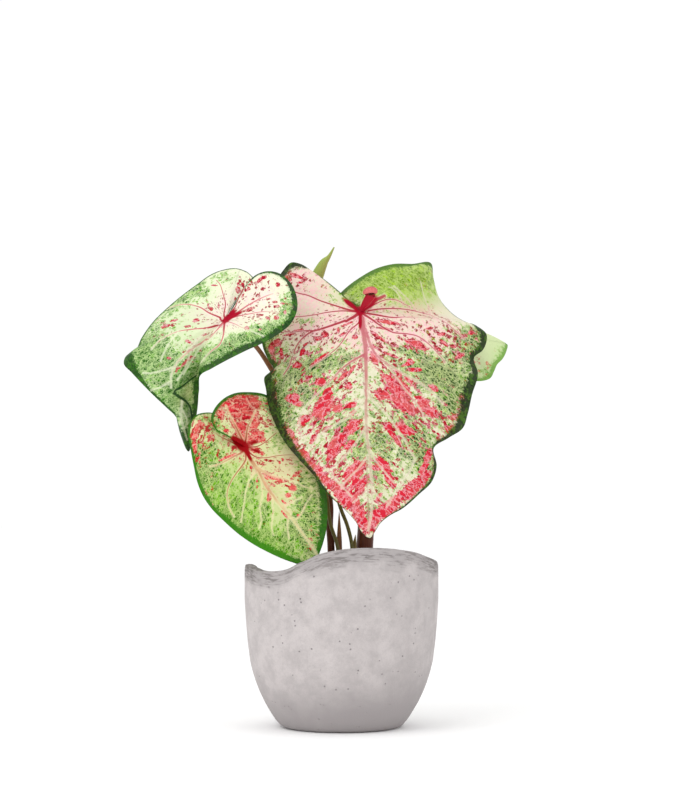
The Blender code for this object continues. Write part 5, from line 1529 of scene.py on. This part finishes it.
def stained_concrete(values):
    """The pot's concrete: mineral grain, darker at the foot, with a streaked and smudged rim."""
    material, make, shader, skin = mineral_material("cast_concrete", values.pale, values.dark, CONCRETE, 0.25)
    rise, blend, of = make.rise, make.blend, make.attribute
    plus, minus, times, scaled = make.plus, make.minus, make.times, make.scaled
    dark, stain = rgba(values.dark), rgba(values.stain)
    spot = make.in_millimetres()
    across, _, height = make.parts(spot)
    drop, turn = of("drop"), make.maths("ABSOLUTE", of("turn"))
    band = make.vector("MULTIPLY", spot, (0.1, 0.1, 0.0))
    band = make.vector("ADD", band, make.joined(z=times(drop, 0.8)))
    streaks = make.noise(band, 1.0, 3.0, 0.65)
    wander = make.noise(spot, 0.06, 2.0)
    reach = scaled(wander, -14.0, plus(drop, 4.0))
    rim = times(rise(reach, 10.0, 1.0), rise(drop, -1.0, 0.5))
    # Painted shade: darker towards the foot and the right side, away from the light, with a wandering edge
    painted_shade = plus(rise(height, 50.0, 0.0, 0.9), rise(across, -35.0, 60.0, 0.35))
    painted_shade = scaled(wander, 0.6, minus(painted_shade, 0.3))
    base = blend(rise(painted_shade, 0.0, 1.0), skin["Color"], dark)
    base = blend(times(rim, 0.7), base, dark)
    base = blend(times(rim, rise(streaks, 0.48, 0.64, 0.75)), base, stain)

    # The darker streaks under the rim on both sides
    corner = times(rise(turn, 46.0, 68.0), rise(drop, 14.0, 6.0))
    corner = times(corner, rise(turn, 150.0, 100.0))
    base = blend(times(corner, rise(streaks, 0.3, 0.6, 0.8)), base, stain)
    make.link(base, shader.inputs["Base Color"])
    return material


def aim(thing, target):
    """Turn a light or the camera to the target."""
    thing.rotation_euler = (Vector(target) - thing.location).to_track_quat("-Z", "Y").to_euler()


class CALADIUM_OT_stage(bpy.types.Operator):
    """Make the floor, the light and the camera"""

    bl_idname = "caladium.stage"
    bl_label = "Stage"

    def execute(self, context):
        scene = context.scene
        values = scene.caladium_stage
        half = values.floor / 2
        mesh = bpy.data.meshes.new("floor")
        corners = [(x * half, y * half, 0) for x, y in ((-1, -1), (1, -1), (1, 1), (-1, 1))]
        mesh.from_pydata(corners, [], [(0, 1, 2, 3)])
        mesh.materials.append(new_material("white_floor", 1.0, Base_Color=rgba((1, 1, 1)))[0])
        new_object("floor", mesh)
        scene.world = bpy.data.worlds.new("studio")
        scene.world.use_nodes = True
        sky = scene.world.node_tree.nodes["Background"].inputs
        sky["Color"].default_value = rgba((1, 1, 1))
        sky["Strength"].default_value = values.sky
        for name, (place, width, share) in LIGHTS.items():
            light = bpy.data.lights.new(name, "AREA")
            light.size = width
            light.energy = values.key * share
            lamp = new_object(name, light)
            lamp.location = place
            aim(lamp, (0, 0, LIT_HEIGHT))
        data = bpy.data.cameras.new("camera")
        data.lens = LENS
        data.clip_start = 0.01
        scene.camera = new_object("camera", data)
        scene.camera.location = Vector((EYE_ACROSS, -EYE_BACK, EYE_UP)) * MM
        aim(scene.camera, Vector(AIM) * MM)
        scene.view_settings.view_transform = "Standard"
        return {"FINISHED"}


class CALADIUM_OT_pot(bpy.types.Operator):
    """Make the cast pot"""

    bl_idname = "caladium.pot"
    bl_label = "Pot"

    def execute(self, context):
        values = context.scene.caladium_pot
        material = stained_concrete(values)
        inputs = {
            "Round": POT_ROUND, "Along": POT_ALONG, "Wave": values.wave, "Grain": values.grain,
            "Material": material,
        }
        mesh = run_tree(pot_tree(), line_mesh("pot_section", pot_section()), inputs)
        place_piece("cast_pot", mesh, material, "pot_concrete", "pot")
        return {"FINISHED"}


class CALADIUM_OT_soil(bpy.types.Operator):
    """Make the soil with its crumbs"""

    bl_idname = "caladium.soil"
    bl_label = "Soil"

    def execute(self, context):
        values = context.scene.caladium_pot
        dark = [0.25 * value for value in values.soil]
        material = mineral_material("damp_soil", values.soil, dark, EARTH, 0.6)[0]
        inputs = {
            "Crumbs": values.crumbs, "Crumb size": values.crumb_size, "Seed": SEED, "Material": material,
        }
        mesh = run_tree(soil_tree(), soil_mesh(), inputs)
        place_piece("loose_soil", mesh, material, "potting_soil", "soil")
        return {"FINISHED"}


class CALADIUM_OT_blades(bpy.types.Operator):
    """Make the four open leaf blades"""

    bl_idname = "caladium.blades"
    bl_label = "Leaf blades"

    def execute(self, context):
        scene = context.scene
        for name, leaf in LEAVES.items():
            mesh = Blade(leaf).build(f"{name}_blade", scene.caladium_sizes)
            drop_loose(mesh)
            material = blade_material(name, getattr(scene, f"caladium_{name}"))
            place_piece(f"{name}_blade", mesh, material, leaf["slot"], f"{name}_leaf_blade")
        return {"FINISHED"}


class CALADIUM_OT_rolls(bpy.types.Operator):
    """Make the leaf that is still rolled, and the front leaf's curled notch"""

    bl_idname = "caladium.rolls"
    bl_label = "Rolled leaf and curl"

    def execute(self, context):
        values, front = context.scene.caladium_stalks, context.scene.caladium_front
        skin = skin_material("young_leaf", values.young, values.young_edge, share="wound", roughness=0.4)
        mesh = rolled_sheet("rolled_blade", ROLLED_LEAF)
        place_piece("rolled_blade", mesh, skin, "young_blade", "rolled_leaf_blade")
        for name, form, foot, head in (
            ("front_funnel", FUNNEL, front.vein_red, front.patch),
            ("front_hood", HOOD, values.crust, values.hood),
        ):
            skin = skin_material(name, foot, head, share="wound", roughness=0.4)
            place_piece(name, rolled_sheet(name, form), skin, "rosy_blade")
        return {"FINISHED"}


class CALADIUM_OT_stalks(bpy.types.Operator):
    """Make the stalks and the pointed sheaths beside them"""

    bl_idname = "caladium.stalks"
    bl_label = "Stalks and sheaths"

    def execute(self, context):
        values = context.scene.caladium_stalks
        tree = stalk_tree()
        skins = {
            "brown_stalk": skin_material("brown_stalk", values.brown_foot, values.brown_head),
            "olive_stalk": skin_material("olive_stalk", values.olive_foot, values.olive_head),
        }
        pieces = [(f"{name}_stem", stalk_line, form, f"{name}_leaf_stalk") for name, form in STALKS.items()]
        pieces += [(f"{name}_leaf", sheath_line, form, name) for name, form in SHEATHS.items()]
        for name, lay, form, node in pieces:
            line, radii = lay(form)
            along = along_line(line)
            start = line_mesh(name, line, {"thick": radii * MM, "along": along / along[-1]})
            slot = form["slot"]
            inputs = {"Sides": values.sides, "Ridge": values.ridge, "Material": skins[slot]}
            place_piece(name, run_tree(tree, start, inputs), skins[slot], slot, node)
        return {"FINISHED"}


class CALADIUM_PT_plant(bpy.types.Panel):
    """Lists the plant's settings and its parts"""

    bl_label = "Potted Caladium"
    bl_space_type = "VIEW_3D"
    bl_region_type = "UI"
    bl_category = "Caladium"

    def draw(self, context):
        for key in SETTINGS:
            box = self.layout.box()
            box.label(text=key.title())
            values = getattr(context.scene, f"caladium_{key}")
            for name in values.__annotations__:
                box.prop(values, name)
        for step in STEPS:
            self.layout.operator(step.bl_idname)


SETTINGS = {name: blade_colours(name, column) for column, name in enumerate(LEAVES)}
SETTINGS |= {
    "sizes": CaladiumLeafSizes, "stalks": CaladiumStalkSettings, "pot": CaladiumPotSettings,
    "stage": CaladiumStageSettings,
}
STEPS = (
    CALADIUM_OT_stage, CALADIUM_OT_pot, CALADIUM_OT_soil, CALADIUM_OT_blades, CALADIUM_OT_rolls,
    CALADIUM_OT_stalks,
)


def register():
    for kind in (*SETTINGS.values(), *STEPS, CALADIUM_PT_plant):
        bpy.utils.register_class(kind)
    for key, kind in SETTINGS.items():
        setattr(bpy.types.Scene, f"caladium_{key}", bpy.props.PointerProperty(type=kind))


def unregister():
    for key in SETTINGS:
        delattr(bpy.types.Scene, f"caladium_{key}")
    for kind in (CALADIUM_PT_plant, *STEPS, *SETTINGS.values()):
        bpy.utils.unregister_class(kind)


def main():
    register()
    for step in STEPS:
        group, name = step.bl_idname.split(".")
        getattr(getattr(bpy.ops, group), name)()


if __name__ == "__main__":
    main()
